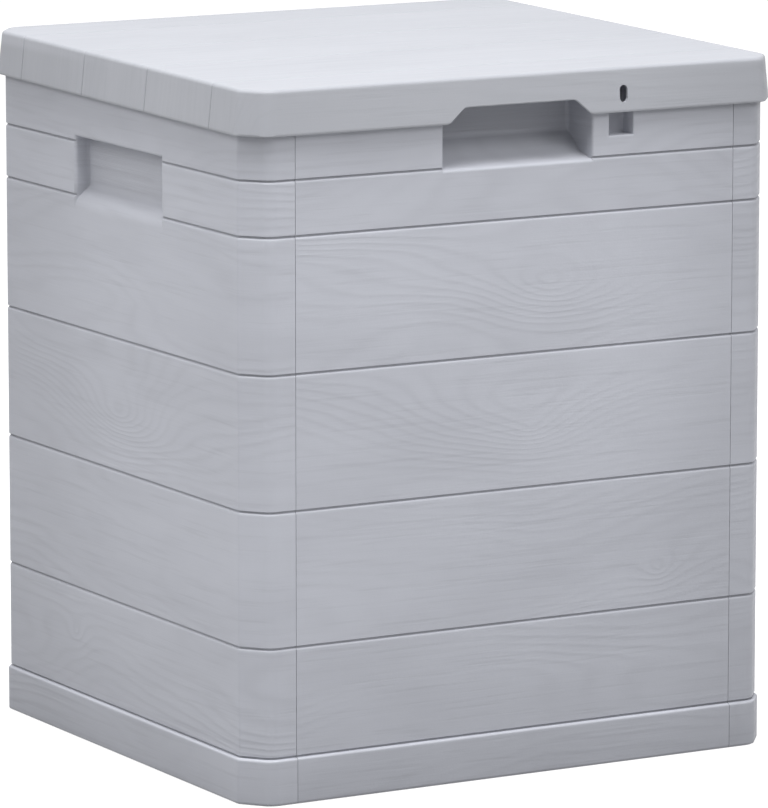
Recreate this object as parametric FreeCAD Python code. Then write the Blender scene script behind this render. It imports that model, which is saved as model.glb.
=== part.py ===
import FreeCAD, Part
import math
import os

from FreeCAD import Vector

os.makedirs("parts", exist_ok=True)

# Millimetres. X runs along the front, Y from front to back, Z up; the origin is
# on the ground under the middle of the box. The front faces -Y.

# Overall
OVERALL_HEIGHT = 540.0
WALL_WIDTH = 455.0
WALL_DEPTH = 419.0
WALL_SKIN = 3.0

# Cut corners of the plan outline
CORNER_CUT_ALONG_X = 16.0
CORNER_CUT_ALONG_Y = 20.0
CORNER_SIDE_RADIUS = 4.0
CORNER_FRONT_RADIUS = 13.0
LEAST_SIDE_RADIUS = 1.0
LEAST_FRONT_RADIUS = 2.0

# Plank pattern on the walls
PLINTH_HEIGHT = 35.0
PLINTH_PROUD = 2.0
TOP_STRIP_BELOW_LID = 33.0
GRIP_PLANK_HEIGHT = 41.6
PLANK_HEIGHT = 102.3
FULL_PLANKS = 3
GROOVE_WIDTH = 2.0
GROOVE_DEPTH = 1.2
PLANK_EDGE_DROP = 2.2

# Top edge of the walls, hidden behind the lid's skirt
SKIRT_OVERLAP = 8.0
RIM_STEP = 4.0
RIM_HEIGHT = 18.0

# Vertical joints between the panels
SEAM_FROM_SIDE = 37.5
SEAM_GAP = 0.4
FLANGE_REACH = 16.0
FLANGE_THICKNESS = 3.0
FLANGE_BOTTOM = 40.0
FLANGE_BELOW_LID = 45.0
FLANGE_SCREW_COUNT = 4
FLANGE_SCREW_END_GAP = 35.0
SCREW_RADIUS = 1.75
SCREW_HEAD_RADIUS = 3.6
SCREW_HEAD_HEIGHT = 2.4
SCREW_CLEARANCE = 0.25
SCREW_BOSS_RADIUS = 4.2
SCREW_BOSS_LENGTH = 8.0
SCREW_POINT_LENGTH = 3.0

# Loose floor on a ledge inside the walls
LEDGE_HEIGHT = 9.0
LEDGE_THICKNESS = 3.0
LEDGE_REACH = 8.0
FLOOR_THICKNESS = 3.0
FLOOR_EDGE_GAP = 0.6
FLOOR_RIB_DEPTH = 9.0
FLOOR_RIB_THICKNESS = 2.0
FLOOR_RIB_PITCH = 80.0
FLOOR_RIB_EDGE_GAP = 4.0
CATCH_LENGTH = 24.0
CATCH_REACH = 3.0
CATCH_HEIGHT = 5.0
CATCH_GAP = 0.2
CATCH_OFFSET = 100.0

# Lid
LID_OVERHANG = 4.5
LID_SKIRT_HEIGHT = 34.0
LID_FALL = 6.0
LID_FLARE = 3.0
LID_EDGE_DROP = 6.0
LID_EDGE_INSET = 5.5
LID_EDGE_STEPS = 4
LID_CORNER_SIDE_RADIUS = 8.0
LID_CORNER_FRONT_RADIUS = 16.0
LID_SKIRT_SKIN = 2.5
LID_TOP_SKIN = 3.0
LID_PLANK_WIDTH = 102.3
LID_PLANK_COUNT = 4
LID_GROOVE_WIDTH = 1.6
LID_GROOVE_DEPTH = 0.6
LID_RIB_THICKNESS = 2.0
LID_RIB_DEPTH = 7.0
LID_RIB_PITCH = 104.0
LID_RIB_COUNT = 3
LID_RIB_RIM_GAP = 8.0
LID_RIB_HINGE_GAP = 14.0
REST_LENGTH = 20.0
REST_WIDTH = 7.0
REST_FROM_FRONT = 80.0
REST_FROM_BACK = 120.0
REST_FROM_SIDE = 87.5

# Cut-out in the middle of the lid's front skirt
CUTOUT_HEIGHT = 12.0
CUTOUT_LOWER_WIDTH = 123.0
CUTOUT_UPPER_WIDTH = 96.0

# Finger scoop under the cut-out
SCOOP_WIDTH = 130.0
SCOOP_DEPTH = 33.0
SCOOP_BEND_DEPTH = 17.0
SCOOP_BEND_RISE = 6.0
SCOOP_BACK_RISE = 19.5
POCKET_SKIN = 2.5

# Hand-holds in the two sides
HOLD_LENGTH = 140.0
HOLD_DEPTH = 12.0
HOLD_HEIGHT = 47.5
HOLD_FLOOR_RISE = 8.0
HOLD_ABOVE_GROOVE = 3.5

# Padlock place: slot in the lid, recess and bar in the front panel
LOCK_FROM_SIDE = 137.5
LOCK_SLOT_WIDTH = 7.0
LOCK_SLOT_HEIGHT = 13.0
LOCK_SLOT_ABOVE_EDGE = 14.0
LOCK_RECESS_WIDTH = 21.0
LOCK_RECESS_DEPTH = 14.0
LOCK_RECESS_BELOW_LID = 17.6
LOCK_BAR_THICKNESS = 6.0
LOCK_BAR_SETBACK = 1.0
LOCK_BAR_ABOVE_EDGE = 1.0

# Hinges at the back
HINGE_FROM_SIDE = 97.5
KNUCKLE_RADIUS = 6.0
PIN_RADIUS = 3.0
PIN_RUNNING_CLEARANCE = 0.06
LID_KNUCKLE_LENGTH = 24.0
BOX_KNUCKLE_LENGTH = 12.0
KNUCKLE_SIDE_GAP = 0.4
KNUCKLE_ROUND_GAP = 1.0
HINGE_INSET = 0.1
HINGE_WEB_THICKNESS = 4.0
PIN_HEAD_RADIUS = 4.5
PIN_HEAD_LENGTH = 2.0
PIN_TAIL = 1.0
STOP_DROP = 7.2
STOP_HEIGHT = 14.0

# Values that follow from the sizes above
HALF_WIDTH = WALL_WIDTH / 2
HALF_DEPTH = WALL_DEPTH / 2
LID_HALF_WIDTH = HALF_WIDTH + LID_OVERHANG
LID_HALF_DEPTH = HALF_DEPTH + LID_OVERHANG
LID_LOWER_BACK = OVERALL_HEIGHT - LID_SKIRT_HEIGHT
LID_LOWER_FRONT = LID_LOWER_BACK - LID_FALL
LID_ANGLE = math.asin(LID_FALL / (2 * LID_HALF_DEPTH))
SHELF_TOP = LID_LOWER_FRONT + SKIRT_OVERLAP
RIM_TOP = SHELF_TOP + RIM_HEIGHT
SEAM_X = HALF_WIDTH - SEAM_FROM_SIDE
HINGE_Y = LID_HALF_DEPTH - KNUCKLE_RADIUS - HINGE_INSET
HINGE_Z = LID_LOWER_BACK - KNUCKLE_RADIUS
FLOOR_BOTTOM = LEDGE_HEIGHT + LEDGE_THICKNESS
FLOOR_TOP = FLOOR_BOTTOM + FLOOR_THICKNESS
GRIP_GROOVE = LID_LOWER_FRONT - TOP_STRIP_BELOW_LID
FLANGE_TOP = LID_LOWER_FRONT - FLANGE_BELOW_LID
HOLD_TOP = GRIP_GROOVE + HOLD_ABOVE_GROOVE
HOLD_LIP_BOTTOM = HOLD_TOP - HOLD_HEIGHT
HOLD_BACK_BOTTOM = HOLD_LIP_BOTTOM + HOLD_FLOOR_RISE
LOCK_X = HALF_WIDTH - LOCK_FROM_SIDE
LOCK_RECESS_BOTTOM = LID_LOWER_FRONT - LOCK_RECESS_BELOW_LID
LOCK_BAR_BOTTOM = LID_LOWER_FRONT + LOCK_BAR_ABOVE_EDGE
HINGE_X = HALF_WIDTH - HINGE_FROM_SIDE
REST_FRONT_X = HALF_WIDTH - REST_FROM_SIDE
REST_SIDE_Y = (REST_FROM_FRONT - HALF_DEPTH, HALF_DEPTH - REST_FROM_BACK)
OUTSIDE = 20.0
JOIN = 0.5


def box(x0, x1, y0, y1, z0, z1):
    """Block between two corners."""
    return Part.makeBox(x1 - x0, y1 - y0, z1 - z0, Vector(x0, y0, z0))


def rod_x(radius, x0, x1, y, z):
    """Round bar along X."""
    return Part.makeCylinder(radius, x1 - x0, Vector(x0, y, z), Vector(1, 0, 0))


def bar_x(points, x0, x1):
    """Prism along X with a section given as (y, z) points."""
    ring = [Vector(x0, y, z) for y, z in points]
    face = Part.Face(Part.makePolygon(ring + ring[:1]))
    return face.extrude(Vector(x1 - x0, 0, 0))


def bar_y(points, y0, y1):
    """Prism along Y with a section given as (x, z) points."""
    ring = [Vector(x, y0, z) for x, z in points]
    face = Part.Face(Part.makePolygon(ring + ring[:1]))
    return face.extrude(Vector(0, y1 - y0, 0))


def joined(shapes):
    """One solid from pieces that touch or overlap."""
    whole = shapes[0].fuse(shapes[1:]) if len(shapes) > 1 else shapes[0]
    return whole.removeSplitter()


def cut_corner(half_width, half_depth, inset):
    """The two ends of the cut at the corner with positive X and Y."""
    length = math.hypot(CORNER_CUT_ALONG_X, CORNER_CUT_ALONG_Y)
    nx = CORNER_CUT_ALONG_Y / length
    ny = CORNER_CUT_ALONG_X / length
    reach = nx * half_width + ny * (half_depth - CORNER_CUT_ALONG_Y) - inset
    x = half_width - inset
    y = half_depth - inset
    return (x, (reach - nx * x) / ny), ((reach - ny * y) / nx, y)


def outline(half_width, half_depth, inset, z, side_radius, front_radius):
    """Closed wire of the plan outline, moved inwards by inset, at height z."""
    (sx, sy), (fx, fy) = cut_corner(half_width, half_depth, inset)
    corners = [
        (sx, sy, side_radius), (fx, fy, front_radius),
        (-fx, fy, front_radius), (-sx, sy, side_radius),
        (-sx, -sy, side_radius), (-fx, -fy, front_radius),
        (fx, -fy, front_radius), (sx, -sy, side_radius),
    ]
    starts = []
    ends = []
    middles = []
    for i, (x, y, radius) in enumerate(corners):
        here = Vector(x, y, z)
        before = Vector(*corners[i - 1][:2], z) - here
        after = Vector(*corners[(i + 1) % len(corners)][:2], z) - here
        before.normalize()
        after.normalize()
        half_angle = before.getAngle(after) / 2
        setback = radius / math.tan(half_angle)
        bisector = before + after
        bisector.normalize()
        rise = radius / math.sin(half_angle) - radius
        starts.append(here + before * setback)
        ends.append(here + after * setback)
        middles.append(here + bisector * rise)
    edges = []
    for i in range(len(corners)):
        edges.append(Part.Arc(starts[i], middles[i], ends[i]).toShape())
        edges.append(Part.makeLine(ends[i], starts[(i + 1) % len(corners)]))
    return Part.Wire(edges)


def wall_outline(inset, z):
    """Plan outline of the walls, with corner radii that follow the inset."""
    side_radius = max(CORNER_SIDE_RADIUS - inset, LEAST_SIDE_RADIUS)
    front_radius = max(CORNER_FRONT_RADIUS - inset, LEAST_FRONT_RADIUS)
    return outline(HALF_WIDTH, HALF_DEPTH, inset, z, side_radius, front_radius)


def wall_prism(inset, z0, z1):
    """Full prism inside the wall outline."""
    return Part.Face(wall_outline(inset, z0)).extrude(Vector(0, 0, z1 - z0))


def wall_ring(outer_inset, inner_inset, z0, z1):
    """Ring between two insets of the wall outline."""
    return wall_prism(outer_inset, z0, z1).cut(wall_prism(inner_inset, z0, z1))


def groove_heights():
    """Heights of the plank joints, from the ground up."""
    top = GRIP_GROOVE - GRIP_PLANK_HEIGHT
    heights = [top - i * PLANK_HEIGHT for i in range(FULL_PLANKS, -1, -1)]
    return [PLINTH_HEIGHT + GROOVE_WIDTH / 2] + heights + [GRIP_GROOVE]


def wall_shell():
    """All four walls as one ring: plinth, planks, shelf, rim and floor ledge."""
    shell = joined([
        wall_ring(0, WALL_SKIN, 0, SHELF_TOP),
        wall_ring(-PLINTH_PROUD, WALL_SKIN, 0, PLINTH_HEIGHT),
        wall_ring(0, RIM_STEP + WALL_SKIN, SHELF_TOP - WALL_SKIN, SHELF_TOP),
        wall_ring(RIM_STEP, RIM_STEP + WALL_SKIN, SHELF_TOP - WALL_SKIN, RIM_TOP),
        wall_ring(WALL_SKIN, WALL_SKIN + LEDGE_REACH, LEDGE_HEIGHT, FLOOR_BOTTOM),
    ])
    grooves = []
    proud = PLINTH_PROUD
    for height in groove_heights():
        low = height - GROOVE_WIDTH / 2
        grooves.append(wall_ring(-OUTSIDE, GROOVE_DEPTH, low, low + GROOVE_WIDTH))
        grooves.append(eased_edge(-proud, low))
        proud = 0.0
    return shell.cut(grooves)


def eased_edge(inset, top):
    """Air over the sloping upper edge of the plank that ends at height top."""
    low = top - PLANK_EDGE_DROP
    slope = Part.makeLoft([wall_outline(inset, low), wall_outline(GROOVE_DEPTH, top)],
                          True, True)
    return wall_prism(-OUTSIDE, low, top).cut(slope)


def catches(across):
    """Small catches on the inner faces that hold the loose floor down."""
    low = FLOOR_TOP + CATCH_GAP
    high = low + CATCH_HEIGHT
    pieces = []
    face = (HALF_WIDTH if across else HALF_DEPTH) - WALL_SKIN
    section = [(face + JOIN, low), (face - CATCH_REACH, low), (face, high),
               (face + JOIN, high)]
    for side in (-1, 1):
        start = side * CATCH_OFFSET - CATCH_LENGTH / 2
        end = start + CATCH_LENGTH
        pieces.append(bar_y(section, start, end) if across else bar_x(section, start, end))
    return pieces


def mirrored_y(shape):
    """Front-to-back mirror image."""
    return shape.mirror(Vector(0, 0, 0), Vector(0, 1, 0))


def mirrored_x(shape):
    """Left-to-right mirror image."""
    return shape.mirror(Vector(0, 0, 0), Vector(1, 0, 0))


def panel_flange():
    """Inner flange at the right edge of the front panel."""
    edge = SEAM_X - SEAM_GAP / 2
    inner = WALL_SKIN - JOIN - HALF_DEPTH
    return box(edge - FLANGE_THICKNESS, edge, inner, inner + FLANGE_REACH,
               FLANGE_BOTTOM, FLANGE_TOP)


def screw_y():
    """Distance of the flange screws from the middle, towards the front."""
    return WALL_SKIN + FLANGE_REACH / 2 - HALF_DEPTH


def screw_heights():
    """Heights of the flange screws, evenly spaced between the flange's ends."""
    low = FLANGE_BOTTOM + FLANGE_SCREW_END_GAP
    high = FLANGE_TOP - FLANGE_SCREW_END_GAP
    pitch = (high - low) / (FLANGE_SCREW_COUNT - 1)
    return [low + i * pitch for i in range(FLANGE_SCREW_COUNT)]


def panel_flange_with_holes():
    """Front panel's right flange with clearance holes for the screws."""
    edge = SEAM_X - SEAM_GAP / 2
    radius = SCREW_RADIUS + SCREW_CLEARANCE
    holes = [rod_x(radius, edge - 2 * FLANGE_THICKNESS, edge + FLANGE_THICKNESS, screw_y(), z)
             for z in screw_heights()]
    return panel_flange().cut(holes)


def side_flange():
    """Front flange of the right panel, with a boss for each screw."""
    edge = SEAM_X + SEAM_GAP / 2
    inner = WALL_SKIN - JOIN - HALF_DEPTH
    pieces = [box(edge, edge + FLANGE_THICKNESS, inner, inner + FLANGE_REACH,
                  FLANGE_BOTTOM, FLANGE_TOP)]
    for z in screw_heights():
        pieces.append(rod_x(SCREW_BOSS_RADIUS, edge, edge + SCREW_BOSS_LENGTH, screw_y(), z))
    holes = [rod_x(SCREW_RADIUS, edge - 1, edge + SCREW_BOSS_LENGTH + 1, screw_y(), z)
             for z in screw_heights()]
    return joined(pieces).cut(holes)


def flange_screws():
    """Screws through the front right seam, heads towards the middle."""
    seat = SEAM_X - SEAM_GAP / 2 - FLANGE_THICKNESS
    end = SEAM_X + SEAM_GAP / 2 + SCREW_BOSS_LENGTH
    screws = []
    for z in screw_heights():
        head = rod_x(SCREW_HEAD_RADIUS, seat - SCREW_HEAD_HEIGHT, seat, screw_y(), z)
        shank = rod_x(SCREW_RADIUS, seat - JOIN, end, screw_y(), z)
        point = Part.makeCone(SCREW_RADIUS, SCREW_RADIUS / 4, SCREW_POINT_LENGTH,
                              Vector(end, screw_y(), z), Vector(1, 0, 0))
        screws.append(joined([head, shank, point]))
    return screws


def scoop_section(skin):
    """Section of the finger scoop; skin widens it to the pocket's outside."""
    front = -HALF_DEPTH
    back = front + SCOOP_DEPTH + skin
    low = GRIP_GROOVE - GROOVE_WIDTH / 2 - skin
    bend = (front + SCOOP_BEND_DEPTH, low + SCOOP_BEND_RISE)
    corner = (back, low + SCOOP_BACK_RISE)
    return front, low, bend, corner


def scoop_cavity():
    """Air of the finger scoop, open to the front and under the lid."""
    front, low, bend, corner = scoop_section(0)
    top = RIM_TOP + 1
    points = [(front - OUTSIDE, low), (front, low), bend, corner,
              (corner[0], top), (front - OUTSIDE, top)]
    return bar_x(points, -SCOOP_WIDTH / 2, SCOOP_WIDTH / 2)


def scoop_pocket():
    """Pocket wall behind the finger scoop, before the air is taken out."""
    front, low, bend, corner = scoop_section(POCKET_SKIN)
    half = SCOOP_WIDTH / 2 + POCKET_SKIN
    lower = [(front, low), bend, corner, (corner[0], SHELF_TOP), (front, SHELF_TOP)]
    upper = [(front + RIM_STEP, SHELF_TOP - JOIN), (corner[0], SHELF_TOP - JOIN),
             (corner[0], RIM_TOP), (front + RIM_STEP, RIM_TOP)]
    return joined([bar_x(lower, -half, half), bar_x(upper, -half, half)])


def lock_recess():
    """Padlock recess: its pocket wall, its air and the bar across it."""
    front = -HALF_DEPTH
    half = LOCK_RECESS_WIDTH / 2
    back = front + LOCK_RECESS_DEPTH
    wide = half + POCKET_SKIN
    pocket = joined([
        box(LOCK_X - wide, LOCK_X + wide, front, back + POCKET_SKIN,
            LOCK_RECESS_BOTTOM - POCKET_SKIN, SHELF_TOP),
        box(LOCK_X - wide, LOCK_X + wide, front + RIM_STEP, back + POCKET_SKIN,
            SHELF_TOP - JOIN, RIM_TOP),
    ])
    air = box(LOCK_X - half, LOCK_X + half, front - OUTSIDE, back,
              LOCK_RECESS_BOTTOM, RIM_TOP - POCKET_SKIN)
    bar_front = front + LOCK_BAR_SETBACK
    bar = box(LOCK_X - half - JOIN, LOCK_X + half + JOIN, bar_front,
              bar_front + LOCK_BAR_THICKNESS, LOCK_BAR_BOTTOM,
              LOCK_BAR_BOTTOM + LOCK_BAR_THICKNESS)
    return pocket, air, bar


def between_seams(shell, front):
    """The part of the wall ring between the two seams, front or back."""
    edge = SEAM_X - SEAM_GAP / 2
    limit = HALF_DEPTH / 2
    outer = HALF_DEPTH + OUTSIDE
    y0, y1 = (-outer, -limit) if front else (limit, outer)
    return shell.common(box(-edge, edge, y0, y1, -1, RIM_TOP + 1))


def front_panel(shell):
    """Front wall with finger scoop and padlock recess."""
    pocket, air, bar = lock_recess()
    flange = panel_flange_with_holes()
    pieces = [between_seams(shell, True), flange, mirrored_x(flange),
              scoop_pocket(), pocket]
    pieces += [mirrored_y(catch) for catch in catches(False)]
    return joined([joined(pieces).cut([scoop_cavity(), air]), bar])


def box_knuckles():
    """Fixed hinge knuckles at the right, each with a stop under it."""
    start = LID_KNUCKLE_LENGTH / 2 + KNUCKLE_SIDE_GAP
    pieces = []
    for side in (-1, 1):
        near = HINGE_X + side * start
        far = near + side * BOX_KNUCKLE_LENGTH
        x0, x1 = min(near, far), max(near, far)
        pieces.append(rod_x(KNUCKLE_RADIUS, x0, x1, HINGE_Y, HINGE_Z))
        pieces.append(stop_lug(x0, x1))
    return pieces


def stop_lug(x0, x1):
    """Lug on the back wall that the opened skirt comes to rest on."""
    wall = HALF_DEPTH - JOIN
    top = HINGE_Z - STOP_DROP
    section = [(wall, top), (HINGE_Y + KNUCKLE_RADIUS, top),
               (HINGE_Y + KNUCKLE_RADIUS, top - STOP_HEIGHT / 3), (wall, top - STOP_HEIGHT)]
    return bar_x(section, x0, x1)


def knuckle_window():
    """Air round the lid's knuckle at the right."""
    half = LID_KNUCKLE_LENGTH / 2 + KNUCKLE_SIDE_GAP
    reach = KNUCKLE_RADIUS + KNUCKLE_ROUND_GAP
    round_gap = rod_x(reach, HINGE_X - half, HINGE_X + half, HINGE_Y, HINGE_Z)
    slot = box(HINGE_X - half, HINGE_X + half, HINGE_Y, HINGE_Y + OUTSIDE,
               HINGE_Z - reach, SHELF_TOP + 1)
    return joined([round_gap, slot])


def knuckle_pocket():
    """Trough of the back wall behind the lid's knuckle at the right."""
    half = LID_KNUCKLE_LENGTH / 2 + KNUCKLE_SIDE_GAP + POCKET_SKIN
    reach = KNUCKLE_RADIUS + KNUCKLE_ROUND_GAP + POCKET_SKIN
    trough = rod_x(reach, HINGE_X - half, HINGE_X + half, HINGE_Y, HINGE_Z)
    inside = box(HINGE_X - half, HINGE_X + half, HINGE_Y - OUTSIDE, HALF_DEPTH - JOIN,
                 HINGE_Z - reach, SHELF_TOP)
    return trough.common(inside)


def back_panel(shell):
    """Back wall with the fixed half of the two hinges."""
    flange = mirrored_y(panel_flange_with_holes())
    knuckles = box_knuckles()
    pocket = knuckle_pocket()
    pieces = [between_seams(shell, False), flange, mirrored_x(flange),
              pocket, mirrored_x(pocket)]
    pieces += knuckles + [mirrored_x(piece) for piece in knuckles]
    pieces += catches(False)
    window = knuckle_window()
    end = HINGE_X + LID_KNUCKLE_LENGTH / 2 + KNUCKLE_SIDE_GAP + BOX_KNUCKLE_LENGTH + PIN_TAIL
    bore = rod_x(PIN_RADIUS, 2 * HINGE_X - end, end, HINGE_Y, HINGE_Z)
    air = [window, mirrored_x(window), bore, mirrored_x(bore)]
    return joined(pieces).cut(air)


def hand_hold():
    """Hand-hold in the right side: its pocket wall and its air."""
    face = HALF_WIDTH
    half = HOLD_LENGTH / 2
    back = face - HOLD_DEPTH
    skin = POCKET_SKIN
    slope = (HOLD_BACK_BOTTOM - HOLD_LIP_BOTTOM) / HOLD_DEPTH
    air = bar_y([(back, HOLD_TOP), (back, HOLD_BACK_BOTTOM),
                 (face + OUTSIDE, HOLD_LIP_BOTTOM - slope * OUTSIDE),
                 (face + OUTSIDE, HOLD_TOP)], -half, half)
    pocket = bar_y([(back - skin, HOLD_TOP + skin),
                    (back - skin, HOLD_BACK_BOTTOM - skin),
                    (face - JOIN, HOLD_LIP_BOTTOM - skin - JOIN),
                    (face - JOIN, HOLD_TOP + skin)], -half - skin, half + skin)
    return pocket, air


def right_panel(shell):
    """Side wall that wraps the front and back corners up to the seams."""
    edge = SEAM_X + SEAM_GAP / 2
    region = box(edge, HALF_WIDTH + OUTSIDE, -HALF_DEPTH - OUTSIDE,
                 HALF_DEPTH + OUTSIDE, -1, RIM_TOP + 1)
    flange = side_flange()
    pocket, air = hand_hold()
    pieces = [shell.common(region), flange, mirrored_y(flange), pocket]
    pieces += catches(True)
    return joined(pieces).cut(air)


def floor_panel():
    """Loose floor plate with a grid of ribs beneath."""
    inset = WALL_SKIN + FLOOR_EDGE_GAP
    plate = wall_prism(inset, FLOOR_BOTTOM, FLOOR_TOP)
    rib_edge = WALL_SKIN + LEDGE_REACH + FLOOR_RIB_EDGE_GAP
    reach_x = HALF_WIDTH - rib_edge
    reach_y = HALF_DEPTH - rib_edge
    half = FLOOR_RIB_THICKNESS / 2
    low = FLOOR_BOTTOM - FLOOR_RIB_DEPTH
    ribs = []
    for i in (-2, -1, 0, 1, 2):
        at = i * FLOOR_RIB_PITCH
        ribs.append(box(at - half, at + half, -reach_y, reach_y, low, FLOOR_BOTTOM))
        ribs.append(box(-reach_x, reach_x, at - half, at + half, low, FLOOR_BOTTOM))
    return joined([plate] + ribs)


def lid_solid(inset, top_inset):
    """Full lid body with rounded upper edge, shrunk by inset and top_inset."""
    width = LID_HALF_WIDTH
    depth = LID_HALF_DEPTH
    high = LID_SKIRT_HEIGHT - top_inset
    levels = [(0, 0)]
    for i in range(LID_EDGE_STEPS + 1):
        turn = math.pi / 2 * i / LID_EDGE_STEPS
        move = LID_FLARE + LID_EDGE_INSET * (1 - math.cos(turn))
        levels.append((move, high - LID_EDGE_DROP * (1 - math.sin(turn))))
    wires = [outline(width, depth, inset + move, z, LID_CORNER_SIDE_RADIUS,
                     LID_CORNER_FRONT_RADIUS) for move, z in levels]
    return Part.makeLoft(wires, True, True)


def lid_grooves():
    """Shallow plank joints across the lid's top and down its sides."""
    skin = lid_solid(-OUTSIDE, -OUTSIDE).cut(lid_solid(LID_GROOVE_DEPTH, LID_GROOVE_DEPTH))
    half = LID_GROOVE_WIDTH / 2
    inner = LID_HALF_DEPTH - LID_OVERHANG
    cuts = []
    for i in range(LID_PLANK_COUNT):
        at = (i - (LID_PLANK_COUNT - 1) / 2) * LID_PLANK_WIDTH
        if abs(at) < inner:
            cuts.append(box(-LID_HALF_WIDTH - 1, LID_HALF_WIDTH + 1, at - half, at + half,
                            -1, LID_SKIRT_HEIGHT + 1))
    return skin.common(Part.makeCompound(cuts))


def lid_ribs():
    """Stiffening ribs under the lid's top, inside the rim of the walls."""
    gap = RIM_STEP + WALL_SKIN + LID_RIB_RIM_GAP
    reach_x = HALF_WIDTH - gap
    front = HALF_DEPTH - gap - SCOOP_DEPTH
    back = HINGE_Y - LID_RIB_HINGE_GAP
    high = LID_SKIRT_HEIGHT - LID_TOP_SKIN + JOIN
    low = high - LID_RIB_DEPTH
    half = LID_RIB_THICKNESS / 2
    ribs = []
    for i in range(LID_RIB_COUNT):
        at = (i - (LID_RIB_COUNT - 1) / 2) * LID_RIB_PITCH
        ribs.append(box(at - half, at + half, -front, back, low, high))
        ribs.append(box(-reach_x, reach_x, at - half, at + half, low, high))
    return ribs


def lid_placed(shape):
    """Turn the lid to its fall towards the front and set it on the walls."""
    pivot = Vector(0, LID_HALF_DEPTH - LID_FLARE - LID_EDGE_INSET, LID_SKIRT_HEIGHT)
    shape = shape.copy()
    shape.rotate(pivot, Vector(1, 0, 0), math.degrees(LID_ANGLE))
    back_shift = LID_SKIRT_HEIGHT * math.sin(LID_ANGLE)
    shape.translate(Vector(0, -back_shift, LID_LOWER_BACK))
    return shape


def lid_rests():
    """Blocks under the lid that sit on the rim of the walls."""
    rim_x = HALF_WIDTH - RIM_STEP - WALL_SKIN / 2
    rim_y = HALF_DEPTH - RIM_STEP - WALL_SKIN / 2
    half = REST_WIDTH / 2
    long = REST_LENGTH / 2
    high = OVERALL_HEIGHT - LID_FALL - LID_TOP_SKIN / 2
    pieces = []
    for side in (-1, 1):
        for y in REST_SIDE_Y:
            top = high + (y + LID_HALF_DEPTH) * math.sin(LID_ANGLE)
            x = side * rim_x
            pieces.append(box(x - half, x + half, y - long, y + long, RIM_TOP, top))
        x = side * REST_FRONT_X
        pieces.append(box(x - long, x + long, -rim_y - half, -rim_y + half, RIM_TOP, high))
    return pieces


def lid_knuckle():
    """Lid's hinge knuckle at the right, hanging from the back skirt."""
    half = LID_KNUCKLE_LENGTH / 2
    x0, x1 = HINGE_X - half, HINGE_X + half
    outer = HINGE_Y + KNUCKLE_RADIUS
    inner = outer - HINGE_WEB_THICKNESS
    web_top = LID_LOWER_BACK + LID_SKIRT_SKIN
    web = box(x0, x1, inner, outer, HINGE_Z, web_top)
    return [rod_x(KNUCKLE_RADIUS, x0, x1, HINGE_Y, HINGE_Z), web]


def front_cutout():
    """Finger cut-out in the middle of the lid's front skirt."""
    low = LID_LOWER_FRONT - OUTSIDE
    edge = LID_LOWER_FRONT
    lower = CUTOUT_LOWER_WIDTH / 2
    upper = CUTOUT_UPPER_WIDTH / 2
    section = [(-lower, low), (-lower, edge), (-upper, edge + CUTOUT_HEIGHT),
               (upper, edge + CUTOUT_HEIGHT), (lower, edge), (lower, low)]
    return bar_y(section, -LID_HALF_DEPTH - OUTSIDE, -HALF_DEPTH)


def lock_slot():
    """Upright round-ended slot for the padlock's shackle."""
    radius = LOCK_SLOT_WIDTH / 2
    middle = LID_LOWER_FRONT + LOCK_SLOT_ABOVE_EDGE
    straight = LOCK_SLOT_HEIGHT / 2 - radius
    y0 = -LID_HALF_DEPTH - OUTSIDE
    y1 = -HALF_DEPTH
    pieces = [box(LOCK_X - radius, LOCK_X + radius, y0, y1, middle - straight, middle + straight)]
    for z in (middle - straight, middle + straight):
        pieces.append(Part.makeCylinder(radius, y1 - y0, Vector(LOCK_X, y0, z), Vector(0, 1, 0)))
    return joined(pieces)


def lid():
    """Lid: top, skirt, ribs, rests and the moving half of the hinges."""
    body = lid_solid(0, 0).cut(lid_solid(LID_SKIRT_SKIN, LID_TOP_SKIN))
    body = lid_placed(joined([body] + lid_ribs()).cut(lid_grooves()))
    knuckle = lid_knuckle()
    pieces = [body] + lid_rests() + knuckle + [mirrored_x(piece) for piece in knuckle]
    half = LID_KNUCKLE_LENGTH / 2 + 1
    bore = rod_x(PIN_RADIUS + PIN_RUNNING_CLEARANCE, HINGE_X - half, HINGE_X + half,
                 HINGE_Y, HINGE_Z)
    air = [front_cutout(), lock_slot(), bore, mirrored_x(bore)]
    return joined(pieces).cut(air)


def hinge_pin():
    """Headed pin of the right hinge, pushed in from the outer side."""
    outer = LID_KNUCKLE_LENGTH / 2 + KNUCKLE_SIDE_GAP + BOX_KNUCKLE_LENGTH
    x0 = HINGE_X - outer - PIN_TAIL
    x1 = HINGE_X + outer
    shaft = rod_x(PIN_RADIUS, x0, x1 + JOIN, HINGE_Y, HINGE_Z)
    head = rod_x(PIN_HEAD_RADIUS, x1, x1 + PIN_HEAD_LENGTH, HINGE_Y, HINGE_Z)
    return joined([shaft, head])


def build():
    """Every piece of the box, by name."""
    shell = wall_shell()
    right = right_panel(shell)
    screws = flange_screws()
    pin = hinge_pin()
    return {
        "front_panel": front_panel(shell),
        "back_panel": back_panel(shell),
        "right_panel": right,
        "left_panel": mirrored_x(right),
        "floor_panel": floor_panel(),
        "lid": lid(),
        "hinge_pin_right": pin,
        "hinge_pin_left": mirrored_x(pin),
        "front_right_screws": Part.makeCompound(screws),
        "front_left_screws": Part.makeCompound([mirrored_x(screw) for screw in screws]),
        "rear_right_screws": Part.makeCompound([mirrored_y(screw) for screw in screws]),
        "rear_left_screws": Part.makeCompound([mirrored_y(mirrored_x(screw)) for screw in screws]),
    }


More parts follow.
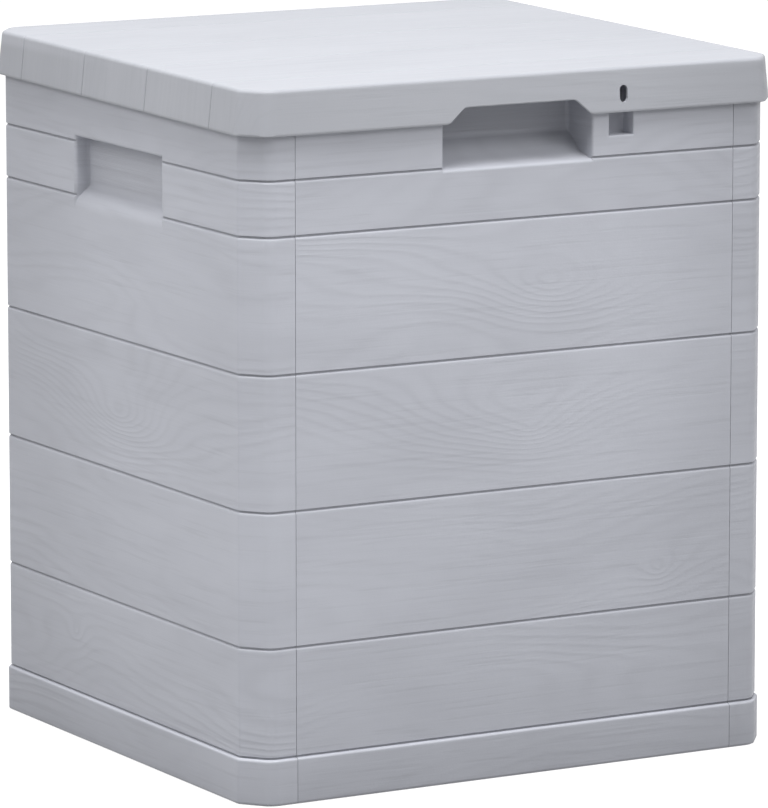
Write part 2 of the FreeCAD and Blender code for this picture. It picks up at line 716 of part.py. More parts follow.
for name, shape in build().items():
    shape.exportStep("parts/" + name + ".step")
    bounds = shape.BoundBox
    print(name, len(shape.Solids), "valid" if shape.isValid() else "NOT VALID",
          [round(v, 2) for v in (bounds.XMin, bounds.XMax, bounds.YMin, bounds.YMax,
                                 bounds.ZMin, bounds.ZMax)])
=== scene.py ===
"""Garden storage box: the visual model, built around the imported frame."""

import logging
import math
from dataclasses import dataclass, field
from enum import Enum
from typing import Callable, Iterable, Sequence

import bmesh
import bpy
import numpy as np
from mathutils import Matrix, Vector


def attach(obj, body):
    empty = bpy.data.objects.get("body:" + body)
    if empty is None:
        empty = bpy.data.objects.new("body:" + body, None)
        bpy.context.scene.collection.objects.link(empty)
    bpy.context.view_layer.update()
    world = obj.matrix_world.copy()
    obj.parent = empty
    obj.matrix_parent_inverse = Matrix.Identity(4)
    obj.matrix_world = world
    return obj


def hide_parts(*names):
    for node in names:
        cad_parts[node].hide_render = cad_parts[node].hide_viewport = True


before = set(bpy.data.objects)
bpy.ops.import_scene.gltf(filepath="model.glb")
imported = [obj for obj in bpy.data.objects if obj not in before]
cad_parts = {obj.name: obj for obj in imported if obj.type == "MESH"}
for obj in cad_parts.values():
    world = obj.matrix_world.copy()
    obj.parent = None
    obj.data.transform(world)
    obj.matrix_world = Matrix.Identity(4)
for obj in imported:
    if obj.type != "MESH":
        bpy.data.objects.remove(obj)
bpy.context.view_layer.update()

LOG = logging.getLogger("storage_box")
MM = 0.001
GRAIN_MAP = "grain"
PLANK_MAP = "plank"
SHARP_ANGLE = math.radians(38)
MERGE_DISTANCE = 1e-6
BEVEL_SEGMENTS = 2
ARC_MIDDLE = 0.3
PLAIN_MARK = (9.0, 0.0)
FAR_AWAY = (9.0, 9.0, 0.0)
Row = tuple[float, float]
Triple = tuple[float, float, float]
Value = bpy.types.NodeSocket | bpy.types.ID | Triple | float
Outputs = bpy.types.NodeOutputs


class Line(Enum):
    """Straight runs of the plan outline, by their place in the outline."""

    BACK = 1
    LEFT = 3
    FRONT = 5
    RIGHT = 7


@dataclass(frozen=True)
class Station:
    """One column of a wall: a place on a straight run or on a corner's arc."""

    index: int
    at: float
    on_arc: bool = False


@dataclass(frozen=True)
class PlanOutline:
    """Plan outline with cut and rounded corners, in millimetres."""

    half_width: float
    half_depth: float
    side_radius: float
    front_radius: float
    radius_follows: bool
    cut_x: float = 16.0
    cut_y: float = 20.0
    least_radius: float = 1.0

    def corners(self, inset: float) -> np.ndarray:
        """Eight corner points, counter-clockwise from the right side's back end.

        Args:
            inset: distance moved inwards.

        Returns:
            Array of shape (8, 2).
        """
        length = math.hypot(self.cut_x, self.cut_y)
        nx, ny = self.cut_y / length, self.cut_x / length
        reach = nx * self.half_width + ny * (self.half_depth - self.cut_y) - inset
        x, y = self.half_width - inset, self.half_depth - inset
        sy, fx = (reach - nx * x) / ny, (reach - ny * y) / nx
        return np.array([(x, sy), (fx, y), (-fx, y), (-x, sy),
                         (-x, -sy), (-fx, -y), (fx, -y), (x, -sy)])

    def normals(self) -> np.ndarray:
        """Outward normals of the eight straight runs, run i leaving corner i.

        Returns:
            Array of shape (8, 2).
        """
        points = self.corners(0.0)
        along = np.roll(points, -1, axis=0) - points
        along /= np.linalg.norm(along, axis=1)[:, None]
        return np.stack([along[:, 1], -along[:, 0]], axis=1)

    def arc(self, corner: int, steps: int) -> list[Station]:
        """Stations round one corner.

        Args:
            corner: corner number.
            steps: segments of the arc.

        Returns:
            Stations from the arc's start to its end.
        """
        return [Station(corner, i / steps, True) for i in range(steps + 1)]

    def place(self, stations: Sequence[Station], insets: np.ndarray) -> np.ndarray:
        """Plan positions of a grid of columns and rows.

        Args:
            stations: the columns.
            insets: inset of each point, shape (columns, rows).

        Returns:
            Positions of shape (columns, rows, 2).
        """
        at_zero, at_one = self.corners(0.0), self.corners(1.0)
        normals = self.normals()
        out = np.zeros(insets.shape + (2,))
        for i, station in enumerate(stations):
            inset = insets[i]
            if station.on_arc:
                before, after = normals[station.index - 1], normals[station.index]
                radius = self.radius(station.index, inset)
                corner = at_zero[station.index] + inset[:, None] * (
                    at_one[station.index] - at_zero[station.index])
                centre = corner - radius[:, None] * (before + after) / (1 + before @ after)
                turn = math.acos(np.clip(before @ after, -1, 1)) * station.at
                start = math.atan2(before[1], before[0])
                normal = np.array([math.cos(start + turn), math.sin(start + turn)])
                out[i] = centre + radius[:, None] * normal
            else:
                normal = normals[station.index]
                along = np.abs(normal[::-1])
                half = self.half_depth if abs(normal[1]) > 0.5 else self.half_width
                out[i] = along * station.at + (half - inset)[:, None] * normal
        return out

    def radius(self, corner: int, inset: np.ndarray) -> np.ndarray:
        """Corner radius at each inset.

        Args:
            corner: corner number.
            inset: distances moved inwards.

        Returns:
            Radius at each of them.
        """
        base = self.side_radius if corner in (0, 3, 4, 7) else self.front_radius
        if not self.radius_follows:
            return np.full(inset.shape, base)
        return np.maximum(base - inset, self.least_radius)


WALL_PLAN = PlanOutline(227.5, 209.5, 4.0, 13.0, True)


def placed_object(name: str, data: bpy.types.ID) -> bpy.types.Object:
    """Make an object and link it to the scene.

    Args:
        name: object name.
        data: its mesh, lamp or camera.

    Returns:
        The new object.
    """
    made = bpy.data.objects.new(name, data)
    bpy.context.scene.collection.objects.link(made)
    return made


def span(a: float, b: float) -> Row:
    """The two values, the lower one first."""
    return (a, b) if a < b else (b, a)


def quarter_turns(steps: int) -> list[float]:
    """Angles from 0 to 90 degrees, in equal steps."""
    return [math.pi / 2 * i / steps for i in range(steps + 1)]


def swept_faces(columns: int, rows: int, closed: bool) -> list[tuple[int, ...]]:
    """Quads between neighbouring columns of a grid, turned outwards.

    Args:
        columns: number of columns.
        rows: rows of each column, the first one being vertex number 0.
        closed: whether the last column joins the first one.

    Returns:
        Vertex numbers of each quad.
    """
    faces = []
    for i in range(columns if closed else columns - 1):
        k = (i + 1) % columns
        faces += [(i * rows + j, k * rows + j, k * rows + j + 1, i * rows + j + 1)
                  for j in range(rows - 1)]
    return faces


@dataclass
class MeshPile:
    """Vertices, faces, grain coordinates and plank numbers gathered for one piece."""

    points: list[np.ndarray] = field(default_factory=list)
    grain: list[np.ndarray] = field(default_factory=list)
    marks: list[np.ndarray] = field(default_factory=list)
    faces: list[tuple[int, ...]] = field(default_factory=list)
    count: int = 0

    def add(self, points: np.ndarray, faces: Iterable[Sequence[int]],
            grain: np.ndarray | None = None, marks: np.ndarray | None = None) -> None:
        """Add one shape.

        Args:
            points: vertices in millimetres, shape (n, 3).
            faces: vertex numbers of each face.
            grain: grain coordinates in millimetres, shape (n, 2).
            marks: plank number and shade of each vertex, shape (n, 2).
        """
        points = np.asarray(points, float)
        if grain is None:
            grain = points[:, [0, 2]] + points[:, [1, 1]]
        if marks is None:
            marks = np.tile(PLAIN_MARK, (len(points), 1))
        self.points.append(points)
        self.grain.append(grain)
        self.marks.append(marks)
        self.faces.extend(tuple(int(v) + self.count for v in face) for face in faces)
        self.count += len(points)

    def add_bmesh(self, shape: bmesh.types.BMesh) -> None:
        """Add a bmesh and free it.

        Args:
            shape: the shape, in millimetres.
        """
        shape.verts.index_update()
        points = np.array([v.co[:] for v in shape.verts])
        faces = [[v.index for v in f.verts] for f in shape.faces]
        shape.free()
        self.add(points, faces)

    def finish(self, name: str, mirror_x: bool = False) -> bpy.types.Object:
        """Make the object in metres.

        Args:
            name: object name.
            mirror_x: build the left-to-right mirror image.

        Returns:
            The new object, linked to the scene.
        """
        points = np.concatenate(self.points) * MM
        faces = self.faces
        if mirror_x:
            points = points * np.array([-1.0, 1.0, 1.0])
            faces = [face[::-1] for face in faces]
        mesh = bpy.data.meshes.new(name)
        mesh.from_pydata(points.tolist(), [], faces)
        corner_vertex = np.zeros(len(mesh.loops), np.int32)
        mesh.loops.foreach_get("vertex_index", corner_vertex)
        grain = np.concatenate(self.grain) * MM
        for label, values in ((GRAIN_MAP, grain), (PLANK_MAP, np.concatenate(self.marks))):
            layer = mesh.uv_layers.new(name=label)
            layer.data.foreach_set("uv", values[corner_vertex].astype(np.float32).ravel())
        work = bmesh.new()
        work.from_mesh(mesh)
        bmesh.ops.remove_doubles(work, verts=work.verts, dist=MERGE_DISTANCE)
        bmesh.ops.dissolve_degenerate(work, edges=work.edges, dist=MERGE_DISTANCE)
        loose = [edge for edge in work.edges if edge.is_wire]
        bmesh.ops.delete(work, geom=loose, context="EDGES")
        work.to_mesh(mesh)
        work.free()
        mesh.shade_smooth()
        mesh.set_sharp_from_angle(angle=SHARP_ANGLE)
        return placed_object(name, mesh)


def with_eased_edges(shape: bmesh.types.BMesh, ease: float) -> bmesh.types.BMesh:
    """Ease every edge of a shape.

    Args:
        shape: the shape, which is changed.
        ease: width of the eased edges; zero leaves them sharp.

    Returns:
        The same shape.
    """
    shape.normal_update()
    bmesh.ops.recalc_face_normals(shape, faces=shape.faces[:])
    if ease:
        bmesh.ops.bevel(shape, geom=shape.edges[:], offset=ease, segments=BEVEL_SEGMENTS,
                        profile=0.5, affect="EDGES", clamp_overlap=True)
    return shape


def block(x: Row, y: Row, z: Row, ease: float = 0.4) -> bmesh.types.BMesh:
    """Block with eased edges, in millimetres.

    Args:
        x: low and high X.
        y: low and high Y.
        z: low and high Z.
        ease: width of the eased edges.

    Returns:
        A new bmesh.
    """
    shape = bmesh.new()
    bmesh.ops.create_cube(shape, size=1.0)
    for vert in shape.verts:
        vert.co = Vector([limits[value > 0] for limits, value in zip((x, y, z), vert.co)])
    return with_eased_edges(shape, ease)


def prism_x(section: Sequence[Row], x: Row, ease: float = 0.4) -> bmesh.types.BMesh:
    """Prism along X.

    Args:
        section: (y, z) points, in millimetres.
        x: low and high X.
        ease: width of the eased edges.

    Returns:
        A new bmesh.
    """
    shape = bmesh.new()
    low, high = ([shape.verts.new((end, a, b)) for a, b in section] for end in x)
    shape.faces.new(low)
    shape.faces.new(high[::-1])
    for i in range(len(section)):
        k = (i + 1) % len(section)
        shape.faces.new((low[i], high[i], high[k], low[k]))
    return with_eased_edges(shape, ease)


def prism_y(section: Sequence[Row], y: Row, ease: float = 0.4) -> bmesh.types.BMesh:
    """Prism along Y.

    Args:
        section: (x, z) points, in millimetres.
        y: low and high Y.
        ease: width of the eased edges.

    Returns:
        A new bmesh.
    """
    shape = prism_x(section, y, ease)
    for vert in shape.verts:
        vert.co = Vector((vert.co.y, vert.co.x, vert.co.z))
    shape.normal_update()
    bmesh.ops.recalc_face_normals(shape, faces=shape.faces[:])
    return shape


def turned_x(profile: Sequence[Row], y: float, z: float,
             steps: int = 40) -> tuple[np.ndarray, list[tuple[int, ...]]]:
    """Round shape about an axis along X.

    Args:
        profile: closed (x, radius) outline, counter-clockwise in that plane.
        y: axis position.
        z: axis height.
        steps: segments round the axis.

    Returns:
        Vertices and faces.
    """
    rows = len(profile)
    points = []
    faces = []
    for k in range(steps):
        turn = 2 * math.pi * k / steps
        points += [(x, y + radius * math.cos(turn), z + radius * math.sin(turn))
                   for x, radius in profile]
        after = (k + 1) % steps
        for j in range(rows):
            up = (j + 1) % rows
            faces.append((k * rows + j, k * rows + up, after * rows + up, after * rows + j))
    return np.array(points), faces


def tube_profile(ends: Row, bore: float, radius: float, ease: float) -> list[Row]:
    """Closed outline of a tube with chamfered bore and rounded ends.

    Args:
        ends: low and high X.
        bore: radius of the hole.
        radius: outer radius.
        ease: size of the chamfers and of the rounded edges.

    Returns:
        (x, radius) points.
    """
    low, high = ends
    middle = ease * ARC_MIDDLE
    return [(low, bore + ease), (low + ease, bore), (high - ease, bore), (high, bore + ease),
            (high, radius - ease), (high - middle, radius - middle), (high - ease, radius),
            (high - 2 * ease, radius), (low + 2 * ease, radius), (low + ease, radius),
            (low + middle, radius - middle), (low, radius - ease)]


@dataclass(frozen=True)
class Pocket:
    """A recess pressed into a straight run of a wall, given by two depth curves."""

    line: Line
    centre: float
    across: tuple[Row, ...]
    upright: tuple[Row, ...]
    shade: float = 0.0
    slope_shade: float = 0.0
    skin: float = 2.5
    margin: float = 1.2
    least: float = 0.3

    def shade_at(self, heights: np.ndarray, depth: np.ndarray) -> np.ndarray:
        """Shade of one column: darker with the depth, and darker again on the slope.

        Args:
            heights: height of each row.
            depth: depth of the recess at each row.

        Returns:
            Shade of each row; zero outside the recess.
        """
        rise = np.array(self.upright)
        deepest = rise[:, 1].max()
        lifted = np.interp(heights, rise[:, 0], rise[:, 1], left=0.0) / deepest
        slope = np.where(heights <= self.slope_top,
                         2 * np.sqrt(np.maximum(lifted * (1 - lifted), 0.0)), 0.0)
        return (self.shade * depth / deepest + self.slope_shade * slope) * (depth > 0)

    def depth_at(self, along: float, heights: np.ndarray, inner: np.ndarray) -> np.ndarray:
        """Depth of the recess for one column.

        Args:
            along: position along the run.
            heights: height of each row.
            inner: which rows are on the wall's inner face.

        Returns:
            Depth of each row; zero outside the recess.
        """
        off = abs(along - self.centre)
        outer_side, inner_side = (np.interp(value, *np.array(self.across).T)
                                  for value in (off, off - self.skin))
        outer_rise, below, above = (
            np.interp(heights + shift, *np.array(self.upright).T, left=0.0)
            for shift in (0.0, self.skin, -self.skin))
        outer = np.minimum(outer_side, outer_rise)
        behind = np.minimum(inner_side, np.maximum(below, above))
        return np.where(inner, np.where(behind > self.least, behind + self.skin, 0.0), outer)

    def columns(self) -> list[float]:
        """Positions along the run where the recess needs a column.

        Returns:
            The positions, in no order.
        """
        offsets = [row[0] + extra for row in self.across for extra in (0.0, self.skin)]
        offsets += [self.across[-1][0] + self.margin,
                    max(self.across[0][0] - self.margin, 0.0)]
        return [self.centre + side * offset for offset in offsets for side in (-1, 1)]

    @property
    def slope_top(self) -> float:
        """Height where the lower slope has reached the full depth."""
        deepest = max(row[1] for row in self.upright)
        return next(row[0] for row in self.upright if row[1] == deepest)

    def heights(self) -> list[float]:
        """Heights where the recess needs a row."""
        rows = [row[0] for row in self.upright]
        return rows + [rows[0] - self.margin, rows[-1] + self.margin]


@dataclass(frozen=True)
class WallSection:
    """Upright section shared by the four walls, in millimetres."""

    skin: float = 3.0
    plinth_height: float = 35.0
    plinth_proud: float = 2.0
    grooves: tuple[float, ...] = (118.5, 220.8, 323.1, 425.4, 467.0)
    groove_width: float = 1.5
    groove_depth: float = 1.2
    edge_drop: float = 1.9
    shelf: float = 508.0
    rim_step: float = 4.0
    rim_top: float = 526.0
    ledge_low: float = 9.0
    ledge_high: float = 12.0
    ledge_reach: float = 8.0
    support: float = 1.0
    foot_radius: float = 1.4
    groove_chamfer: float = 0.25
    shelf_radius: float = 1.0
    rim_chamfer: float = 0.6
    inner_chamfer: float = 0.5
    ledge_chamfer: float = 0.4
    edge_steps: int = 5

    def eased_top(self, start: float, top: float) -> list[Row]:
        """Rounded upper edge of a plank, from its face to the groove's bottom.

        Args:
            start: inset of the plank's face.
            top: height of the plank's top.

        Returns:
            (inset, height) rows.
        """
        reach = self.groove_depth - start
        rows = [(start, top - self.edge_drop - self.support)]
        rows += [(start + reach * (1 - math.cos(turn)),
                  top - self.edge_drop * (1 - math.sin(turn)))
                 for turn in quarter_turns(self.edge_steps)]
        return rows

    def outer(self) -> list[Row]:
        """Rows of the outer face, from the ground to the rim.

        Returns:
            (inset, height) rows.
        """
        proud, foot = -self.plinth_proud, self.foot_radius
        rows = [(proud + foot, 0.0), (proud + foot * ARC_MIDDLE, foot * ARC_MIDDLE),
                (proud, foot), (proud, foot + self.support)]
        rows += self.eased_top(proud, self.plinth_height)
        lows = [self.plinth_height] + [g - self.groove_width / 2 for g in self.grooves]
        for i, low in enumerate(lows):
            high = low + self.groove_width
            if i:
                rows += self.eased_top(0.0, low)
            rows += [(self.groove_depth, high), (self.groove_chamfer, high),
                     (0.0, high + self.groove_chamfer),
                     (0.0, high + self.groove_chamfer + self.support)]
        edge, rim, top = self.shelf_radius, self.rim_step, self.rim_top
        rows += [(0.0, self.shelf - edge - self.support), (0.0, self.shelf - edge),
                 (edge * ARC_MIDDLE, self.shelf - edge * ARC_MIDDLE), (edge, self.shelf),
                 (rim, self.shelf), (rim, self.shelf + self.support),
                 (rim, top - self.rim_chamfer - self.support), (rim, top - self.rim_chamfer),
                 (rim + self.rim_chamfer, top)]
        return rows

    def inner(self) -> list[Row]:
        """Rows of the inner face, from the rim down to the ground.

        Returns:
            (inset, height) rows.
        """
        back, under = self.rim_step + self.skin, self.shelf - self.skin
        reach, skin = self.skin + self.ledge_reach, self.skin
        top, rim, ledge = self.rim_top, self.rim_chamfer, self.ledge_high
        return [(back - rim, top), (back, top - rim), (back, top - rim - self.support),
                (back, under), (skin + self.inner_chamfer, under),
                (skin, under - self.inner_chamfer),
                (skin, under - self.inner_chamfer - self.support),
                (skin, ledge + self.support), (skin, ledge),
                (reach - self.ledge_chamfer, ledge), (reach, ledge - self.ledge_chamfer),
                (reach, self.ledge_low), (skin, self.ledge_low), (skin, 0.0)]

    def plank_number(self, height: float) -> float:
        """Number of the plank at a height, used to vary its grain."""
        levels = (self.plinth_height + self.support,) + self.grooves
        return float(sum(height > level for level in levels))


def with_rows(rows: list[Row], heights: Iterable[float], least: float = 0.02) -> list[Row]:
    """Insert extra rows on the upright stretches of a section.

    Args:
        rows: (inset, height) rows.
        heights: heights wanted.
        least: smallest distance to an existing row.

    Returns:
        The rows with the new ones in their places.
    """
    out = [rows[0]]
    wanted = sorted(set(round(h, 4) for h in heights))
    for before, after in zip(rows, rows[1:]):
        if abs(before[0] - after[0]) < 1e-6:
            low, high = sorted((before[1], after[1]))
            between = [h for h in wanted if low + least < h < high - least]
            if after[1] < before[1]:
                between.reverse()
            for height in between:
                if abs(out[-1][1] - height) > least:
                    out.append((before[0], height))
        out.append(after)
    return out


@dataclass
class WallPanel:
    """One moulded wall: a swept section with recesses pressed in."""

    stations: list[Station]
    pockets: tuple[Pocket, ...]
    seed: float
    section: WallSection = WallSection()
    outline: PlanOutline = WALL_PLAN
    free_foot: float = 5.0
    edge_grain: float = 0.7
    shade_start: float = 0.6

    def build(self) -> MeshPile:
        """Sweep the section along the stations and press the recesses in.

        Returns:
            The pile holding the wall's skin.
        """
        heights = [h for pocket in self.pockets for h in pocket.heights()]
        skins = [h + side * pocket.skin for pocket in self.pockets
                 for h in pocket.heights() for side in (-1, 1)]
        outer = with_rows(self.section.outer(), heights)
        inner = with_rows(self.section.inner(), heights + skins)
        rows = np.array(outer + inner)
        is_inner = np.arange(len(rows)) >= len(outer)
        insets = np.tile(rows[:, 0], (len(self.stations), 1))
        plain = insets.copy()
        shades = np.zeros_like(insets)
        number = self.section.plank_number
        planks = np.tile([number(z) for z in rows[:, 1]], (len(self.stations), 1))
        foot = rows[:, 1] < self.section.plinth_height + self.free_foot
        for i, station in enumerate(self.stations):
            for pocket in self.pockets:
                if station.on_arc or station.index != pocket.line.value:
                    continue
                depth = pocket.depth_at(station.at, rows[:, 1], is_inner)
                insets[i] = np.where(foot, insets[i], np.maximum(insets[i], depth))
                slope = (insets[i] > plain[i]) & (rows[:, 1] <= pocket.slope_top)
                planks[i] = np.where(slope, number(pocket.upright[0][0]), planks[i])
                shades[i] += pocket.shade_at(rows[:, 1], depth) * ~is_inner
        plan = self.outline.place(self.stations, insets)
        grid = np.dstack([plan, np.broadcast_to(rows[:, 1], plan.shape[:2])])
        shade = np.where(insets == plain, self.groove_shade(rows) * ~is_inner, shades)
        marks = np.stack([(planks + self.seed).ravel(), shade.ravel()], axis=1)
        pile = MeshPile()
        pile.add(grid.reshape(-1, 3), self.faces(*plan.shape[:2]), self.grain(rows), marks)
        return pile

    def faces(self, columns: int, rows: int) -> list[tuple[int, ...]]:
        """Quads of the swept skin and its two end faces.

        Args:
            columns: number of columns.
            rows: rows of each column; the last one joins the first.

        Returns:
            Vertex numbers of each face.
        """
        faces = swept_faces(columns, rows, False)
        faces += [(i * rows + rows - 1, (i + 1) * rows + rows - 1, (i + 1) * rows, i * rows)
                  for i in range(columns - 1)]
        faces.append(tuple(range(rows)))
        faces.append(tuple((columns - 1) * rows + j for j in reversed(range(rows))))
        return faces

    def grain(self, rows: np.ndarray) -> np.ndarray:
        """Grain coordinates: distance from the wall's middle, and height.

        Args:
            rows: (inset, height) of each row.

        Returns:
            Coordinates of shape (columns * rows, 2).
        """
        base = self.outline.place(self.stations, np.zeros((len(self.stations), 1)))[:, 0]
        steps = np.linalg.norm(np.diff(base, axis=0), axis=1)
        run = np.concatenate([[0.0], np.cumsum(steps)]) - steps.sum() / 2
        up = rows[:, 1] + self.edge_grain * rows[:, 0]
        return np.stack([np.repeat(run, len(rows)), np.tile(up, len(run))], axis=1)

    def groove_shade(self, rows: np.ndarray) -> np.ndarray:
        """Shade of each row: full at a groove's bottom, none on a plank's face.

        Args:
            rows: (inset, height) of each row.

        Returns:
            Shade of each row.
        """
        section = self.section
        share = rows[:, 0] / section.groove_depth
        deep = np.clip((share - self.shade_start) / (1 - self.shade_start), 0, 1)
        return deep * (rows[:, 1] < section.shelf - section.skin)


@dataclass(frozen=True)
class Seam:
    """Upright joint between two panels and what stands behind it, in millimetres."""

    x: float = 190.0
    gap: float = 0.4
    face: float = 206.0
    reach: float = 16.0
    thickness: float = 3.0
    bottom: float = 40.0
    top: float = 455.0
    screw_y: float = 198.5
    screw_low: float = 75.0
    screw_pitch: float = 115.0
    screw_count: int = 4
    boss_radius: float = 4.2
    boss_bore: float = 1.75
    boss_start: float = 0.5
    boss_length: float = 8.0
    boss_ease: float = 0.3
    round_steps: int = 24

    def flange(self, side_y: int, x: Row) -> bmesh.types.BMesh:
        """Upright flange behind the seam.

        Args:
            side_y: -1 for a front seam, 1 for a back one.
            x: low and high X.

        Returns:
            A new bmesh.
        """
        return block(x, span(side_y * self.face, side_y * (self.face - self.reach)),
                     (self.bottom, self.top))

    def middle_flange(self, side_x: int, side_y: int) -> bmesh.types.BMesh:
        """Flange on the front or back panel.

        Args:
            side_x: -1 for the left seam, 1 for the right one.
            side_y: -1 for the front panel, 1 for the back one.

        Returns:
            A new bmesh.
        """
        edge = self.x - self.gap / 2
        return self.flange(side_y, span(side_x * edge, side_x * (edge - self.thickness)))

    def side_flange(self, pile: MeshPile, side_y: int) -> None:
        """Flange and screw bosses on the right panel.

        Args:
            pile: the panel's pile.
            side_y: -1 for the front seam, 1 for the back one.
        """
        edge = self.x + self.gap / 2
        pile.add_bmesh(self.flange(side_y, (edge, edge + self.thickness)))
        profile = tube_profile((edge + self.boss_start, edge + self.boss_length),
                               self.boss_bore, self.boss_radius, self.boss_ease)
        for i in range(self.screw_count):
            z = self.screw_low + i * self.screw_pitch
            pile.add(*turned_x(profile, side_y * self.screw_y, z, self.round_steps))


@dataclass(frozen=True)
class Catches:
    """Small catches that hold the loose floor down, in millimetres."""

    offset: float = 100.0
    length: float = 24.0
    low: float = 15.2
    height: float = 5.0
    reach: float = 3.0
    root: float = 0.5
    ease: float = 0.25

    def add(self, pile: MeshPile, face: float, prism: Callable, side: int = 1) -> None:
        """Add the two catches of one panel.

        Args:
            pile: the panel's pile.
            face: distance of the panel's inner face from the middle.
            prism: prism_x on the front and back panels, prism_y on the side ones.
            side: -1 for the front panel, 1 for the others.
        """
        top = self.low + self.height
        section = [(side * (face + self.root), self.low), (side * (face - self.reach), self.low),
                   (side * face, top), (side * (face + self.root), top)]
        for middle in (-self.offset, self.offset):
            ends = (middle - self.length / 2, middle + self.length / 2)
            pile.add_bmesh(prism(section, ends, self.ease))


@dataclass(frozen=True)
class Hinge:
    """Pin hinge at the back, in millimetres."""

    x: float = 130.0
    y: float = 207.9
    z: float = 500.0
    radius: float = 6.0
    pin_radius: float = 3.0
    pin_play: float = 0.06
    ease: float = 0.5
    lid_half: float = 12.0
    box_length: float = 12.0
    gap: float = 0.4
    web_thickness: float = 3.9
    web_low: float = 0.5
    web_inset: float = 0.02
    head_radius: float = 4.5
    head_length: float = 2.0
    tail: float = 1.0
    stop_drop: float = 7.2
    stop_height: float = 14.0
    wall: float = 209.0

    def add_box_half(self, pile: MeshPile) -> None:
        """Fixed knuckles and stop lugs of both hinges.

        Args:
            pile: the back panel's pile.
        """
        near = self.lid_half + self.gap
        far = near + self.box_length
        top, outer = self.z - self.stop_drop, self.y + self.radius
        lug = [(self.wall, top), (outer, top), (outer, top - self.stop_height / 3),
               (self.wall, top - self.stop_height)]
        for side in (-1, 1):
            for low, high in ((-far, -near), (near, far)):
                ends = span(side * (self.x + low), side * (self.x + high))
                profile = tube_profile(ends, self.pin_radius, self.radius, self.ease)
                pile.add(*turned_x(profile, self.y, self.z))
                pile.add_bmesh(prism_x(lug, ends))

    def add_lid_half(self, pile: MeshPile, web_top: float) -> None:
        """Moving knuckles of both hinges with their webs.

        Args:
            pile: the lid's pile.
            web_top: height where a web ends inside the skirt.
        """
        outer = self.y + self.radius - self.web_inset
        for side in (-1, 1):
            ends = (side * self.x - self.lid_half, side * self.x + self.lid_half)
            profile = tube_profile(ends, self.pin_radius + self.pin_play, self.radius,
                                   self.ease)
            pile.add(*turned_x(profile, self.y, self.z))
            pile.add_bmesh(block(ends, (outer - self.web_thickness, outer),
                                 (self.z + self.web_low, web_top)))

    def pin(self) -> MeshPile:
        """Right hinge's pin, with a rounded head and an eased tail.

        Returns:
            The pile holding the pin.
        """
        reach = self.lid_half + self.gap + self.box_length
        low, high = self.x - reach - self.tail, self.x + reach
        top = high + self.head_length
        shank, head = self.pin_radius, self.head_radius
        profile = [(low, 0.0), (top, 0.0), (top, head - 1.2), (top - 0.4, head - 0.4),
                   (top - 1.0, head), (high + 0.2, head), (high, head - 0.2), (high, shank),
                   (high - 1.0, shank), (low + 1.0, shank), (low + 0.4, shank - 0.15),
                   (low, shank - 0.6)]
        pile = MeshPile()
        pile.add(*turned_x(profile, self.y, self.z))
        return pile


